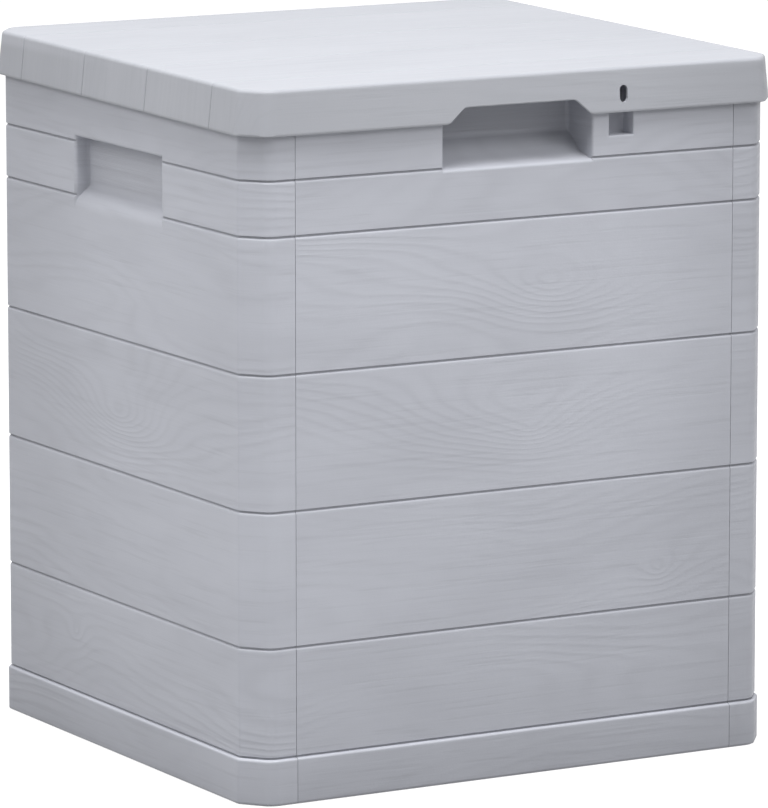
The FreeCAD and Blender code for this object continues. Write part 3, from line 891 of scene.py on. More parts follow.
@dataclass(frozen=True)
class LidShape:
    """Lid sizes in millimetres; heights are above the skirt's lower edge."""

    outline: PlanOutline = PlanOutline(232.0, 214.0, 8.0, 16.0, False)
    height: float = 34.0
    overall: float = 540.0
    fall: float = 6.0
    flare: float = 3.0
    edge_drop: float = 3.2
    edge_inset: float = 3.0
    skirt_skin: float = 2.5
    top_skin: float = 3.0
    plank_width: float = 102.3
    plank_count: int = 4
    groove_depth: float = 0.6
    cut_height: float = 12.0
    cut_lower: float = 61.5
    cut_upper: float = 48.0
    cut_ease: float = 3.0
    cut_samples: int = 13
    cut_floor: float = 0.05
    slot_x: float = 90.0
    slot_height: float = 514.0
    slot_width: float = 7.0
    slot_length: float = 13.0
    edge_steps: int = 7
    joint_profile: tuple[Row, ...] = ((0.0, 1.0), (0.35, 1.0), (0.75, 0.25), (1.3, 0.0))
    joint_margin: float = 2.5
    side_ends: tuple[float, ...] = (183.5, 185.0)
    cut_columns: tuple[float, ...] = (40, 44, 45.5, 47, 48.5, 50, 52, 54.5, 57, 59.5, 61, 62.5,
                                      64, 66, 70)
    plain_columns: tuple[float, ...] = (20, 110, 150, 190, 198, 200)
    lip_rows: tuple[float, ...] = (0.8, 2.0)
    top_margin: float = 1.5

    @property
    def angle(self) -> float:
        """Angle of the lid's fall to the front."""
        return math.asin(self.fall / (2 * self.outline.half_depth))

    def placing(self) -> Matrix:
        """Turn and move from the lid's own frame to the box's frame.

        Returns:
            The matrix, in millimetres.
        """
        pivot = Vector((0, self.outline.half_depth - self.flare - self.edge_inset,
                        self.height))
        turn = Matrix.Rotation(self.angle, 4, "X")
        back = Vector((0, -self.height * math.sin(self.angle), self.overall - self.height))
        return Matrix.Translation(pivot + back) @ turn @ Matrix.Translation(-pivot)

    def groove_places(self) -> list[float]:
        """Y of the plank joints."""
        middle = (self.plank_count - 1) / 2
        return [(i - middle) * self.plank_width for i in range(self.plank_count)]

    def groove_depth_at(self, y: float) -> float:
        """Depth of the plank joint at a Y position."""
        off = min(abs(y - place) for place in self.groove_places())
        return self.groove_depth * float(np.interp(off, *np.array(self.joint_profile).T))

    def lower_edge(self, x: float) -> float:
        """Height of the front skirt's lower edge, raised in the finger cut-out.

        Args:
            x: position along the front.

        Returns:
            Height above the plain lower edge, averaged over a short stretch so that
            the cut-out's corners are rounded.
        """
        slope = (self.cut_lower - self.cut_upper) / self.cut_height
        samples = np.linspace(-self.cut_ease, self.cut_ease, self.cut_samples)
        values = np.clip((self.cut_lower - np.abs(x + samples)) / slope, 0, self.cut_height)
        weight = np.cos(samples / self.cut_ease * math.pi / 2) + self.cut_floor
        return float((values * weight).sum() / weight.sum())

    def stations(self) -> list[Station]:
        """Columns round the whole lid, starting at the right side's back end.

        Returns:
            The columns, counter-clockwise.
        """
        offsets = [row[0] for row in self.joint_profile] + [self.joint_margin]
        along_y = sorted({place + side * off for place in self.groove_places()
                          for off in offsets for side in (-1, 1)}
                         | {side * end for end in self.side_ends for side in (-1, 1)})
        along_x = sorted({0.0} | {side * x for x in self.cut_columns + self.plain_columns
                                  for side in (-1, 1)})
        ring = self.outline
        out = ring.arc(0, 5) + ring.arc(1, 6)
        out += [Station(Line.BACK.value, x) for x in reversed(along_x)]
        out += ring.arc(2, 6) + ring.arc(3, 5)
        out += [Station(Line.LEFT.value, y) for y in reversed(along_y)]
        out += ring.arc(4, 5) + ring.arc(5, 6)
        out += [Station(Line.FRONT.value, x) for x in along_x]
        out += ring.arc(6, 6) + ring.arc(7, 5)
        out += [Station(Line.RIGHT.value, y) for y in along_y]
        return out

    def profile(self, skin: float, top_skin: float) -> list[tuple[float, float, float, float]]:
        """Rows from the lower edge to the flat top as (inset, height, outward, up).

        Args:
            skin: how far this surface lies inside the outer one.
            top_skin: the same at the top.

        Returns:
            Rows with the surface direction.
        """
        high = self.height - top_skin
        start = high - self.edge_drop
        rows = [(skin + self.flare * z / start, z, 1.0, 0.0)
                for z in (*self.lip_rows, 0.5 * start, start - self.top_margin)]
        rows += [(skin + self.flare + self.edge_inset * (1 - math.cos(turn)),
                  start + self.edge_drop * math.sin(turn), math.cos(turn), math.sin(turn))
                 for turn in quarter_turns(self.edge_steps)]
        rows.append((skin + self.flare + self.edge_inset + self.top_margin, high, 0.0, 1.0))
        return rows


@dataclass
class LidShell:
    """Skirted lid: eased edges, plank joints, finger cut-out and padlock slot."""

    shape: LidShape = LidShape()
    web_top: float = 508.6
    lip_ease: float = 0.2
    lip_drop: float = 0.8
    joint_shade: float = 0.7
    joint_shade_top: float = 0.12
    first_plank: float = 20.0
    rest_low: float = 526.0
    rest_half: float = 10.0
    side_rest: tuple[float, float] = (218.5, 225.5)
    side_rest_tops: tuple[Row, ...] = ((-129.5, 533.4), (89.5, 536.4))
    front_rest: tuple[float, float] = (-207.5, -200.5)
    front_rest_x: float = 140.0
    front_rest_top: float = 532.2
    slot_reach: tuple[float, float] = (-225.0, -209.2)
    slot_steps: int = 16
    hinge: Hinge = Hinge()

    def build(self) -> MeshPile:
        """Shell, rests and moving hinge halves in one pile.

        Returns:
            The pile, in the box's frame.
        """
        pile = MeshPile()
        self.add_shell(pile)
        self.add_rests(pile)
        self.hinge.add_lid_half(pile, self.web_top)
        return pile

    def station_groove(self, station: Station) -> float:
        """Depth of the plank joint at a column.

        Args:
            station: the column.

        Returns:
            Its depth; zero at the front, at the back and at the corners.
        """
        if station.on_arc or station.index not in (Line.LEFT.value, Line.RIGHT.value):
            return 0.0
        return self.shape.groove_depth_at(station.at)

    def surface(self, rows: Sequence[tuple[float, float, float, float]],
                inner: bool) -> tuple[np.ndarray, np.ndarray]:
        """Grid of one surface with the cut-out and the plank joints.

        Args:
            rows: profile rows.
            inner: whether it is the inner surface, which has no joints.

        Returns:
            Positions (columns, rows, 3) and grain coordinates (columns, rows, 2).
        """
        shape = self.shape
        stations = shape.stations()
        start = shape.height - (shape.top_skin if inner else 0.0) - shape.edge_drop
        insets = np.zeros((len(stations), len(rows)))
        heights = np.zeros_like(insets)
        for i, station in enumerate(stations):
            front = not station.on_arc and station.index == Line.FRONT.value
            raised = shape.lower_edge(station.at) if front else 0.0
            groove = 0.0 if inner else self.station_groove(station)
            for j, (inset, z, outward, up) in enumerate(rows):
                height = z
                if z < start:
                    height = raised + z * (start - raised) / start
                    inset += shape.flare * (height - z) / start
                insets[i, j] = inset + groove * outward
                heights[i, j] = height - groove * up
        plan = shape.outline.place(stations, insets)
        grid = np.dstack([plan, heights])
        levels = np.broadcast_to([0.0, 1.0], (len(stations), 2))
        ends = shape.outline.place(stations, levels)
        away = ends[:, 0] - ends[:, 1]
        drop = shape.height - heights
        grain = plan + away[:, None, :] * drop[..., None]
        return grid, grain

    def add_shell(self, pile: MeshPile) -> None:
        """Outer and inner surface, lower edge and the two flat fields.

        Args:
            pile: the lid's pile.
        """
        shape = self.shape
        profile = shape.profile(0.0, 0.0)
        outer, outer_grain = self.surface(profile, False)
        inner, inner_grain = self.surface(
            shape.profile(shape.skirt_skin, shape.top_skin), True)
        lip = self.lower_lip(outer[:, 0], inner[:, 0])
        grid = np.concatenate([outer[:, ::-1], lip, inner], axis=1)
        grain = np.concatenate([outer_grain[:, ::-1], outer_grain[:, :1],
                                inner_grain[:, :1], inner_grain], axis=1)
        columns, rows = grid.shape[:2]
        faces = [face[::-1] for face in swept_faces(columns, rows, True)]
        faces += self.field(columns, rows, 0, False)
        faces += self.field(columns, rows, rows - 1, True)
        placing = np.array(shape.placing())
        points = grid.reshape(-1, 3)
        placed = points @ placing[:3, :3].T + placing[:3, 3]
        deep = np.array([self.station_groove(station) / shape.groove_depth
                         for station in shape.stations()])
        outward = np.zeros(rows)
        outward[:len(profile)] = [row[2] for row in reversed(profile)]
        shade = deep[:, None] * (self.joint_shade * outward + self.joint_shade_top)
        planks = self.first_plank + (points[:, 1:2] > shape.groove_places()).sum(axis=1)
        pile.add(placed, faces, grain.reshape(-1, 2), np.stack([planks, shade.ravel()], axis=1))

    def lower_lip(self, outer: np.ndarray, inner: np.ndarray) -> np.ndarray:
        """Eased lower edge between the two surfaces.

        Args:
            outer: lowest row of the outer surface.
            inner: lowest row of the inner surface.

        Returns:
            Two rows of points, shape (columns, 2, 3).
        """
        lip = np.stack([outer + (inner - outer) * self.lip_ease,
                        inner + (outer - inner) * self.lip_ease], axis=1)
        lip[..., 2] -= self.lip_drop
        return lip

    def field(self, columns: int, rows: int, row: int, flip: bool) -> list[tuple[int, ...]]:
        """Strips across a flat field between the left and the right columns.

        Args:
            columns: number of columns.
            rows: rows in the grid.
            row: the row that bounds the field.
            flip: whether the field faces down.

        Returns:
            Faces.
        """
        front, back = ([i for i, station in enumerate(self.shape.stations())
                        if not station.on_arc and station.index == line.value]
                       for line in (Line.FRONT, Line.BACK))
        left = list(range(front[0], back[-1] - 1, -1))
        right = [i % columns for i in range(front[-1], columns + back[0] + 1)]
        last = len(left) - 3
        rings = [[left[2], left[1], *front, right[1], right[2]]]
        rings += [[left[k + 1], left[k], right[k], right[k + 1]] for k in range(2, last)]
        rings.append([left[last], right[last], right[last + 1], *back, left[last + 1]])
        faces = [[i * rows + row for i in ring] for ring in rings]
        return [tuple(face[::-1]) if flip else tuple(face) for face in faces]

    def add_rests(self, pile: MeshPile) -> None:
        """Blocks that sit on the rim of the walls.

        Args:
            pile: the lid's pile.
        """
        half = self.rest_half
        for side in (-1, 1):
            near, far = self.side_rest
            for y, top in self.side_rest_tops:
                pile.add_bmesh(block(span(side * near, side * far), (y - half, y + half),
                                     (self.rest_low, top)))
            x = side * self.front_rest_x
            pile.add_bmesh(block((x - half, x + half), self.front_rest,
                                 (self.rest_low, self.front_rest_top)))

    def slot_cutter(self) -> bpy.types.Object:
        """Round-ended bar that cuts the padlock slot.

        Returns:
            The bar, in metres.
        """
        shape = self.shape
        radius = shape.slot_width / 2
        straight = shape.slot_length / 2 - radius
        turns = [math.pi * i / self.slot_steps for i in range(self.slot_steps + 1)]
        ring = [(shape.slot_x + side * radius * math.cos(turn),
                 shape.slot_height + side * (straight + radius * math.sin(turn)))
                for side in (1, -1) for turn in turns]
        bar = prism_y(ring, self.slot_reach, 0.0)
        bmesh.ops.scale(bar, vec=(MM, MM, MM), verts=bar.verts)
        mesh = bpy.data.meshes.new("slot_cutter")
        bar.to_mesh(mesh)
        bar.free()
        return placed_object("slot_cutter", mesh)


def with_cut(target: bpy.types.Object, cutter: bpy.types.Object) -> None:
    """Cut one object out of another and remove the cutter.

    Args:
        target: object that keeps the result.
        cutter: object that is cut out and deleted.
    """
    change = target.modifiers.new("cut", "BOOLEAN")
    change.operation = "DIFFERENCE"
    change.solver = "EXACT"
    change.object = cutter
    baked_mesh(target)
    bpy.data.objects.remove(cutter)


def baked_mesh(made: bpy.types.Object) -> None:
    """Turn an object's live modifiers into plain mesh data.

    Args:
        made: the object.
    """
    graph = bpy.context.evaluated_depsgraph_get()
    graph.update()
    mesh = bpy.data.meshes.new_from_object(made.evaluated_get(graph))
    made.modifiers.clear()
    made.data = mesh
    mesh.name = made.name


class NodeSheet:
    """Short ways to add and join nodes in one tree."""

    def __init__(self, tree: bpy.types.NodeTree) -> None:
        """Keep the tree that nodes are added to."""
        self.tree = tree

    def add(self, kind: str, **settings: object) -> bpy.types.Node:
        """Add a node and set its properties.

        Args:
            kind: node type.
            settings: value of each property.

        Returns:
            The node.
        """
        node = self.tree.nodes.new(kind)
        for key, value in settings.items():
            setattr(node, key, value)
        return node

    def feed(self, target: bpy.types.NodeSocket, value: Value) -> None:
        """Link a socket, or set the input's own value.

        Args:
            target: the input.
            value: a socket or a plain value; a colour of three numbers is made opaque.
        """
        if isinstance(value, bpy.types.NodeSocket):
            self.tree.links.new(value, target)
        elif target.type == "RGBA":
            target.default_value = (*value, 1.0)
        else:
            target.default_value = value

    def node(self, kind: str, inputs: dict[str, Value], **settings: object) -> Outputs:
        """Add a node and feed its inputs.

        Args:
            kind: node type.
            inputs: value or socket for each named input.
            settings: value of each property.

        Returns:
            The node's outputs.
        """
        made = self.add(kind, **settings)
        for label, value in inputs.items():
            self.feed(made.inputs[label], value)
        return made.outputs

    def math(self, operation: str, *values: Value) -> bpy.types.NodeSocket:
        """Math node.

        Args:
            operation: what it works out.
            values: up to three inputs.

        Returns:
            The result.
        """
        node = self.add("ShaderNodeMath", operation=operation)
        for target, value in zip(node.inputs, values):
            self.feed(target, value)
        return node.outputs[0]

    def vector(self, operation: str, *values: Value) -> bpy.types.NodeSocket:
        """Vector Math node.

        Args:
            operation: what it works out.
            values: one or two inputs.

        Returns:
            Its vector, or its value for a length.
        """
        node = self.add("ShaderNodeVectorMath", operation=operation)
        for target, value in zip(node.inputs, values):
            self.feed(target, value)
        return node.outputs["Value" if operation == "LENGTH" else "Vector"]

    def noise(self, place: bpy.types.NodeSocket, stretch: Triple, detail: float = 2.0,
              roughness: float = 0.5) -> bpy.types.NodeSocket:
        """Noise with its own scale along each direction.

        Args:
            place: coordinates in metres.
            stretch: scale along, across and through.
            detail: octaves.
            roughness: weight of the finer octaves.

        Returns:
            Value from 0 to 1.
        """
        return self.node("ShaderNodeTexNoise", {
            "Vector": self.vector("MULTIPLY", place, stretch), "Scale": 1.0,
            "Detail": detail, "Roughness": roughness})["Fac"]

    def spread(self, value: bpy.types.NodeSocket, low: float, high: float,
               to_low: float = 0.0, to_high: float = 1.0) -> bpy.types.NodeSocket:
        """Smooth step from one range to another.

        Args:
            value: what is spread.
            low: value that gives to_low.
            high: value that gives to_high.
            to_low: result at the low end.
            to_high: result at the high end.

        Returns:
            The result.
        """
        return self.node("ShaderNodeMapRange", {
            "Value": value, "From Min": low, "From Max": high, "To Min": to_low,
            "To Max": to_high}, interpolation_type="SMOOTHSTEP")["Result"]

    def blend(self, factor: bpy.types.NodeSocket, first: Value, second: Value,
              ) -> bpy.types.NodeSocket:
        """Mix of two colours.

        Args:
            factor: 0 for the first colour, 1 for the second.
            first: colour or socket.
            second: colour or socket.

        Returns:
            The mixed colour.
        """
        return self.node("ShaderNodeMix", {"Factor": factor, "A": first, "B": second},
                         data_type="RGBA")["Result"]

    def relief(self, height: bpy.types.NodeSocket, strength: float,
               distance: float) -> bpy.types.NodeSocket:
        """Normal of an embossed surface.

        Args:
            height: height from 0 to 1.
            strength: how strongly it shows.
            distance: depth in metres.

        Returns:
            The normal.
        """
        return self.node("ShaderNodeBump", {
            "Strength": strength, "Distance": distance, "Height": height})["Normal"]

    def place(self) -> bpy.types.NodeSocket:
        """Object coordinates."""
        return self.add("ShaderNodeTexCoord").outputs["Object"]

    def parts(self, vector: bpy.types.NodeSocket) -> Outputs:
        """X, Y and Z of a vector."""
        return self.node("ShaderNodeSeparateXYZ", {"Vector": vector})


def new_group(name: str, inputs: dict[str, Value], outputs: Sequence[str],
              ) -> tuple[bpy.types.NodeTree, NodeSheet, Outputs, bpy.types.NodeInputs]:
    """Start a shader node group.

    Args:
        name: group name.
        inputs: default of each input; three numbers make it a vector.
        outputs: names of the value outputs.

    Returns:
        The tree, its sheet, the group's inputs and its outputs.
    """
    tree = bpy.data.node_groups.new(name, "ShaderNodeTree")
    for label, default in inputs.items():
        kind = "NodeSocketVector" if isinstance(default, tuple) else "NodeSocketFloat"
        socket = tree.interface.new_socket(label, in_out="INPUT", socket_type=kind)
        socket.default_value = default
    for label in outputs:
        tree.interface.new_socket(label, in_out="OUTPUT", socket_type="NodeSocketFloat")
    sheet = NodeSheet(tree)
    given, put = sheet.add("NodeGroupInput"), sheet.add("NodeGroupOutput")
    return tree, sheet, given.outputs, put.inputs


def wood_grain_group() -> bpy.types.NodeTree:
    """Embossed wood grain: growth rings, three knots, fibres and pores.

    Returns:
        Group with Height, Tone and Fibre outputs.
    """
    tree, sheet, given, put = new_group(
        "wood_grain", {"Place": (0.0, 0.0, 0.0), "Plank": 0.0, "Figure": 14.0, "Wave": 1.0,
                       "Knot": FAR_AWAY, "Oval": FAR_AWAY, "Eye": FAR_AWAY},
        ["Height", "Tone", "Fibre"])
    shift = sheet.node("ShaderNodeCombineXYZ", {
        axis: sheet.math("MULTIPLY", given["Plank"], step)
        for axis, step in (("X", 0.731), ("Y", 0.413), ("Z", 1.917))})["Vector"]
    place = sheet.vector("ADD", given["Place"], shift)
    drift = sheet.math("MULTIPLY", sheet.noise(place, (3.4, 13.0, 1.0), 1.0, 0.3),
                       given["Figure"])
    rings = sheet.math("MULTIPLY_ADD", sheet.parts(place)["Y"], 80.0, drift)
    sway = sheet.noise(place, (11.0, 34.0, 1.0), 2.0)
    rings = sheet.math("MULTIPLY_ADD", sway, 1.3, rings)
    for label, stretch, lift in (("Knot", (62.0, 80.0, 0.0), 2.6),
                                 ("Oval", (17.0, 30.0, 0.0), 5.5),
                                 ("Eye", (20.0, 32.0, 0.0), 5.0)):
        away = sheet.vector("SUBTRACT", given["Place"], given[label])
        away = sheet.vector("LENGTH", sheet.vector("MULTIPLY", away, stretch))
        fall = sheet.math("MULTIPLY", sheet.math("POWER", away, 1.3), -1.0)
        rings = sheet.math("MULTIPLY_ADD", sheet.math("EXPONENT", fall), lift, rings)
    wave = sheet.math("SINE", sheet.math("MULTIPLY", rings, 2 * math.pi))
    ridge = sheet.math("POWER", sheet.math("MULTIPLY_ADD", wave, 0.5, 0.5), 2.0)
    patch = sheet.spread(sheet.noise(place, (4.0, 10.0, 1.0), 1.0), 0.36, 0.62, 0.2, 1.0)
    ridge = sheet.math("MULTIPLY", sheet.math("MULTIPLY", ridge, patch), given["Wave"])
    fibre = sheet.noise(place, (7.0, 520.0, 1.0), 3.0, 0.6)
    streak = sheet.spread(sheet.noise(place, (11.5, 250.0, 1.0), 2.0, 0.55), 0.52, 0.74)
    height = sheet.math("ADD", sheet.math("MULTIPLY", fibre, 0.4),
                        sheet.math("MULTIPLY", ridge, 0.38))
    height = sheet.math("SUBTRACT", height, sheet.math("MULTIPLY", streak, 0.2))
    tone = sheet.math("ADD", sheet.math("MULTIPLY", ridge, -0.22),
                      sheet.math("MULTIPLY", streak, -0.32))
    cloud = sheet.noise(place, (5.0, 12.0, 1.0), 3.0, 0.6)
    tone = sheet.math("ADD", tone, sheet.math("MULTIPLY_ADD", cloud, 1.6, 0.1))
    for label, value in (("Height", height), ("Tone", tone), ("Fibre", fibre)):
        sheet.feed(put[label], value)
    return tree


def moulded_skin_group() -> bpy.types.NodeTree:
    """Fine spark-eroded skin and faint flow marks of moulded plastic.

    Returns:
        Group with Height, Tone and Gloss outputs.
    """
    tree, sheet, given, put = new_group(
        "moulded_skin", {"Place": (0.0, 0.0, 0.0), "Grit": 1.0}, ["Height", "Tone", "Gloss"])
    place = given["Place"]
    grit = sheet.noise(place, (900.0, 900.0, 900.0), 2.0, 0.6)
    dents = sheet.noise(place, (260.0, 260.0, 260.0), 1.0)
    height = sheet.math("ADD", sheet.math("MULTIPLY", grit, 0.7),
                        sheet.math("MULTIPLY", dents, 0.3))
    flow = sheet.noise(place, (6.0, 6.0, 9.0), 3.0, 0.55)
    gloss = sheet.math("ADD", sheet.math("MULTIPLY", flow, 0.5),
                       sheet.math("MULTIPLY", grit, 0.5))
    sheet.feed(put["Height"], sheet.math("MULTIPLY", height, given["Grit"]))
    sheet.feed(put["Tone"], flow)
    sheet.feed(put["Gloss"], gloss)
    return tree


@dataclass(frozen=True)
class GrainPlastic:
    """Light grey matte plastic with embossed wood grain.

    Painted shade darkens it under the lid, standing in for the shadow of the lid's overhang, and
    away from the front left corner, standing in for the light's fall-off.
    """

    name: str
    dark: Triple
    light: Triple
    knot: Triple = FAR_AWAY
    oval: Triple = FAR_AWAY
    eye: Triple = FAR_AWAY
    figure: float = 14.0
    wave: float = 1.0
    depth: float = 0.00035
    strength: float = 0.5
    grit: float = 0.22
    gloss: float = 0.35
    tone_range: Row = (0.0, 1.6)
    fibre_range: Row = (0.25, 0.75)
    rough: Row = (0.46, 0.62)
    shade_colour: Triple = (0.08, 0.08, 0.09)
    groove_shade: float = 0.3
    # Painted shade below the rim, standing in for the shadow of the lid's overhang.
    under_lid_painted_shade: float = 0.0
    under_lid_shade_heights: Row = (0.44, 0.515)
    # Painted shade away from the front left corner, standing in for the fall-off of the light;
    # top_heights keeps it off the lid's top.
    painted_falloff_shade: float = 0.17
    painted_falloff_front: Row = (0.0725, 0.2125)
    painted_falloff_side: Row = (-0.03, 0.19)
    top_heights: Row = (0.527, 0.533)

    def make(self, grain: bpy.types.NodeTree, skin: bpy.types.NodeTree) -> bpy.types.Material:
        """Build the material.

        Args:
            grain: wood grain group.
            skin: moulded skin group.

        Returns:
            The material.
        """
        material, sheet, shader = new_material(self.name)
        where = sheet.place()
        level = sheet.parts(where)
        plank = sheet.parts(sheet.add("ShaderNodeUVMap", uv_map=PLANK_MAP).outputs["UV"])
        wood = sheet.node("ShaderNodeGroup", {
            "Place": sheet.add("ShaderNodeUVMap", uv_map=GRAIN_MAP).outputs["UV"],
            "Plank": plank["X"], "Figure": self.figure, "Wave": self.wave, "Knot": self.knot,
            "Oval": self.oval, "Eye": self.eye}, node_tree=grain)
        fine = sheet.node("ShaderNodeGroup", {"Place": where, "Grit": self.grit},
                          node_tree=skin)
        # Painted shade under the lid: darker towards the rim, standing in for the lid's shadow.
        band = sheet.spread(level["Z"], *self.under_lid_shade_heights, 0.0, self.under_lid_painted_shade)
        # Painted fall-off of the light: darker away from the front left corner, except on the
        # lid's top.
        away = sheet.math("MAXIMUM", sheet.spread(level["X"], *self.painted_falloff_front),
                          sheet.spread(level["Y"], *self.painted_falloff_side))
        below_top = sheet.spread(level["Z"], *self.top_heights, self.painted_falloff_shade, 0.0)
        band = sheet.math("MULTIPLY_ADD", away, below_top, band)
        shade = sheet.math("MULTIPLY_ADD", plank["Y"], self.groove_shade, band)
        colour = sheet.blend(sheet.spread(wood["Tone"], *self.tone_range), self.dark,
                             self.light)
        height = sheet.math("ADD", wood["Height"], fine["Height"])
        dress_shader(sheet, shader, {
            "Base Color": sheet.blend(shade, colour, self.shade_colour),
            "Roughness": sheet.spread(wood["Fibre"], *self.fibre_range, *self.rough),
            "Specular IOR Level": self.gloss,
            "Normal": sheet.relief(height, self.strength, self.depth)})
        return material


@dataclass(frozen=True)
class PlainPlastic:
    """Plain moulded plastic without grain."""

    name: str
    dark: Triple
    light: Triple
    grit: float = 0.8
    middle: Row = (0.3, 0.7)
    rough: Row = (0.45, 0.6)
    strength: float = 0.35
    depth: float = 0.0002

    def make(self, skin: bpy.types.NodeTree) -> bpy.types.Material:
        """Build the material.

        Args:
            skin: moulded skin group.

        Returns:
            The material.
        """
        material, sheet, shader = new_material(self.name)
        fine = sheet.node("ShaderNodeGroup", {"Place": sheet.place(), "Grit": self.grit},
                          node_tree=skin)
        tone = sheet.spread(fine["Tone"], *self.middle)
        dress_shader(sheet, shader, {
            "Base Color": sheet.blend(tone, self.dark, self.light),
            "Roughness": sheet.spread(fine["Gloss"], *self.middle, *self.rough),
            "Normal": sheet.relief(fine["Height"], self.strength, self.depth)})
        return material


@dataclass(frozen=True)
class ZincSteel:
    """Bright zinc-plated steel with a finely spotted surface."""

    name: str = "zinc_steel"
    dark: Triple = (0.42, 0.42, 0.43)
    light: Triple = (0.64, 0.64, 0.62)
    spot_scale: Triple = (420.0, 420.0, 420.0)
    middle: Row = (0.3, 0.7)
    rough: Row = (0.25, 0.42)
    strength: float = 0.2
    depth: float = 0.0001

    def make(self) -> bpy.types.Material:
        """Build the material.

        Returns:
            The material.
        """
        material, sheet, shader = new_material(self.name)
        spots = sheet.noise(sheet.place(), self.spot_scale, 3.0, 0.6)
        dress_shader(sheet, shader, {
            "Base Color": sheet.blend(spots, self.dark, self.light), "Metallic": 1.0,
            "Roughness": sheet.spread(spots, *self.middle, *self.rough),
            "Normal": sheet.relief(spots, self.strength, self.depth)})
        return material


def new_material(name: str) -> tuple[bpy.types.Material, NodeSheet, bpy.types.Node]:
    """Start a material with a Principled shader.

    Args:
        name: material name.

    Returns:
        The material, its sheet and the shader node.
    """
    material = bpy.data.materials.new(name)
    material.use_nodes = True
    return material, NodeSheet(material.node_tree), material.node_tree.nodes["Principled BSDF"]


def dress_shader(sheet: NodeSheet, shader: bpy.types.Node, inputs: dict[str, Value]) -> None:
    """Feed the named inputs of a material's shader.

    Args:
        sheet: the material's sheet.
        shader: the shader node.
        inputs: value or socket for each input.
    """
    for label, value in inputs.items():
        sheet.feed(shader.inputs[label], value)


def row_tree(name: str, sizes: dict[str, str], finish: bpy.types.Material,
             shape: Callable[[NodeSheet, Outputs], bpy.types.NodeSocket],
             ) -> bpy.types.NodeTree:
    """Geometry node tree that repeats a shape along a line.

    Args:
        name: name of the tree.
        sizes: socket type of each input besides Count, Start and Pitch.
        finish: material of the row.
        shape: makes the shape's nodes from the sheet and the tree's inputs.

    Returns:
        The tree.
    """
    tree = bpy.data.node_groups.new(name, "GeometryNodeTree")
    inputs = {"Count": "NodeSocketInt", "Start": "NodeSocketVector",
              "Pitch": "NodeSocketVector", **sizes}
    tree.interface.new_socket("Geometry", in_out="OUTPUT", socket_type="NodeSocketGeometry")
    for label, kind in inputs.items():
        tree.interface.new_socket(label, in_out="INPUT", socket_type=kind)
    sheet = NodeSheet(tree)
    given = sheet.add("NodeGroupInput").outputs
    line = sheet.node("GeometryNodeMeshLine", {
        "Count": given["Count"], "Start Location": given["Start"],
        "Offset": given["Pitch"]}, mode="OFFSET")
    copies = sheet.node("GeometryNodeInstanceOnPoints", {
        "Points": line["Mesh"], "Instance": shape(sheet, given)})
    real = sheet.node("GeometryNodeRealizeInstances", {"Geometry": copies["Instances"]})
    painted = sheet.node("GeometryNodeSetMaterial", {
        "Geometry": real["Geometry"], "Material": finish})
    sheet.node("NodeGroupOutput", {"Geometry": painted["Geometry"]})
    return tree


@dataclass
class BarRow:
    """Evenly spaced bars made by geometry nodes, such as ribs, in millimetres."""

    name: str
    count: int
    pitch: float
    size: Triple
    centre: Triple
    along_x: bool
    ease: float = 0.3

    def bar(self, sheet: NodeSheet, given: Outputs) -> bpy.types.NodeSocket:
        """Nodes of one bar.

        Args:
            sheet: sheet of the row's tree.
            given: the tree's inputs.

        Returns:
            The bar's mesh.
        """
        return sheet.node("GeometryNodeMeshCube", {"Size": given["Bar Size"]})["Mesh"]

    def make(self, finish: bpy.types.Material, placing: Matrix | None = None,
             ) -> bpy.types.Object:
        """Build the row as a plain mesh.

        Args:
            finish: material of the bars.
            placing: turn and move to the box's frame, in millimetres.

        Returns:
            The object.
        """
        across = 1 if self.along_x else 0
        step, first = [0.0, 0.0, 0.0], list(self.centre)
        step[across] = self.pitch
        first[across] -= (self.count - 1) / 2 * self.pitch
        values = {"Count": self.count, "Pitch": [v * MM for v in step],
                  "Start": [v * MM for v in first], "Bar Size": [v * MM for v in self.size]}
        made = placed_object(self.name, bpy.data.meshes.new(self.name))
        tree = row_tree(self.name + "_tree", {"Bar Size": "NodeSocketVector"}, finish, self.bar)
        apply_tree(made, tree, values)
        soften(made, self.ease * MM)
        if placing is not None:
            scaled = placing.copy()
            scaled.translation = scaled.translation * MM
            made.data.transform(scaled)
        return made


def apply_tree(made: bpy.types.Object, tree: bpy.types.NodeTree,
               values: dict[str, object]) -> None:
    """Run a geometry node tree on an object and keep the plain result.

    Args:
        made: the object.
        tree: the tree.
        values: value of each named input.
    """
    change = made.modifiers.new("nodes", "NODES")
    change.node_group = tree
    for item in tree.interface.items_tree:
        if item.item_type == "SOCKET" and item.in_out == "INPUT" and item.name in values:
            change[item.identifier] = values[item.name]
    baked_mesh(made)


def soften(made: bpy.types.Object, width: float) -> None:
    """Ease the sharp edges of a plain mesh.

    Args:
        made: the object.
        width: width of the eased edges, in metres.
    """
    change = made.modifiers.new("ease", "BEVEL")
    change.width = width
    change.segments = BEVEL_SEGMENTS
    change.limit_method = "ANGLE"
    baked_mesh(made)
    made.data.shade_smooth()
    made.data.set_sharp_from_angle(angle=SHARP_ANGLE)


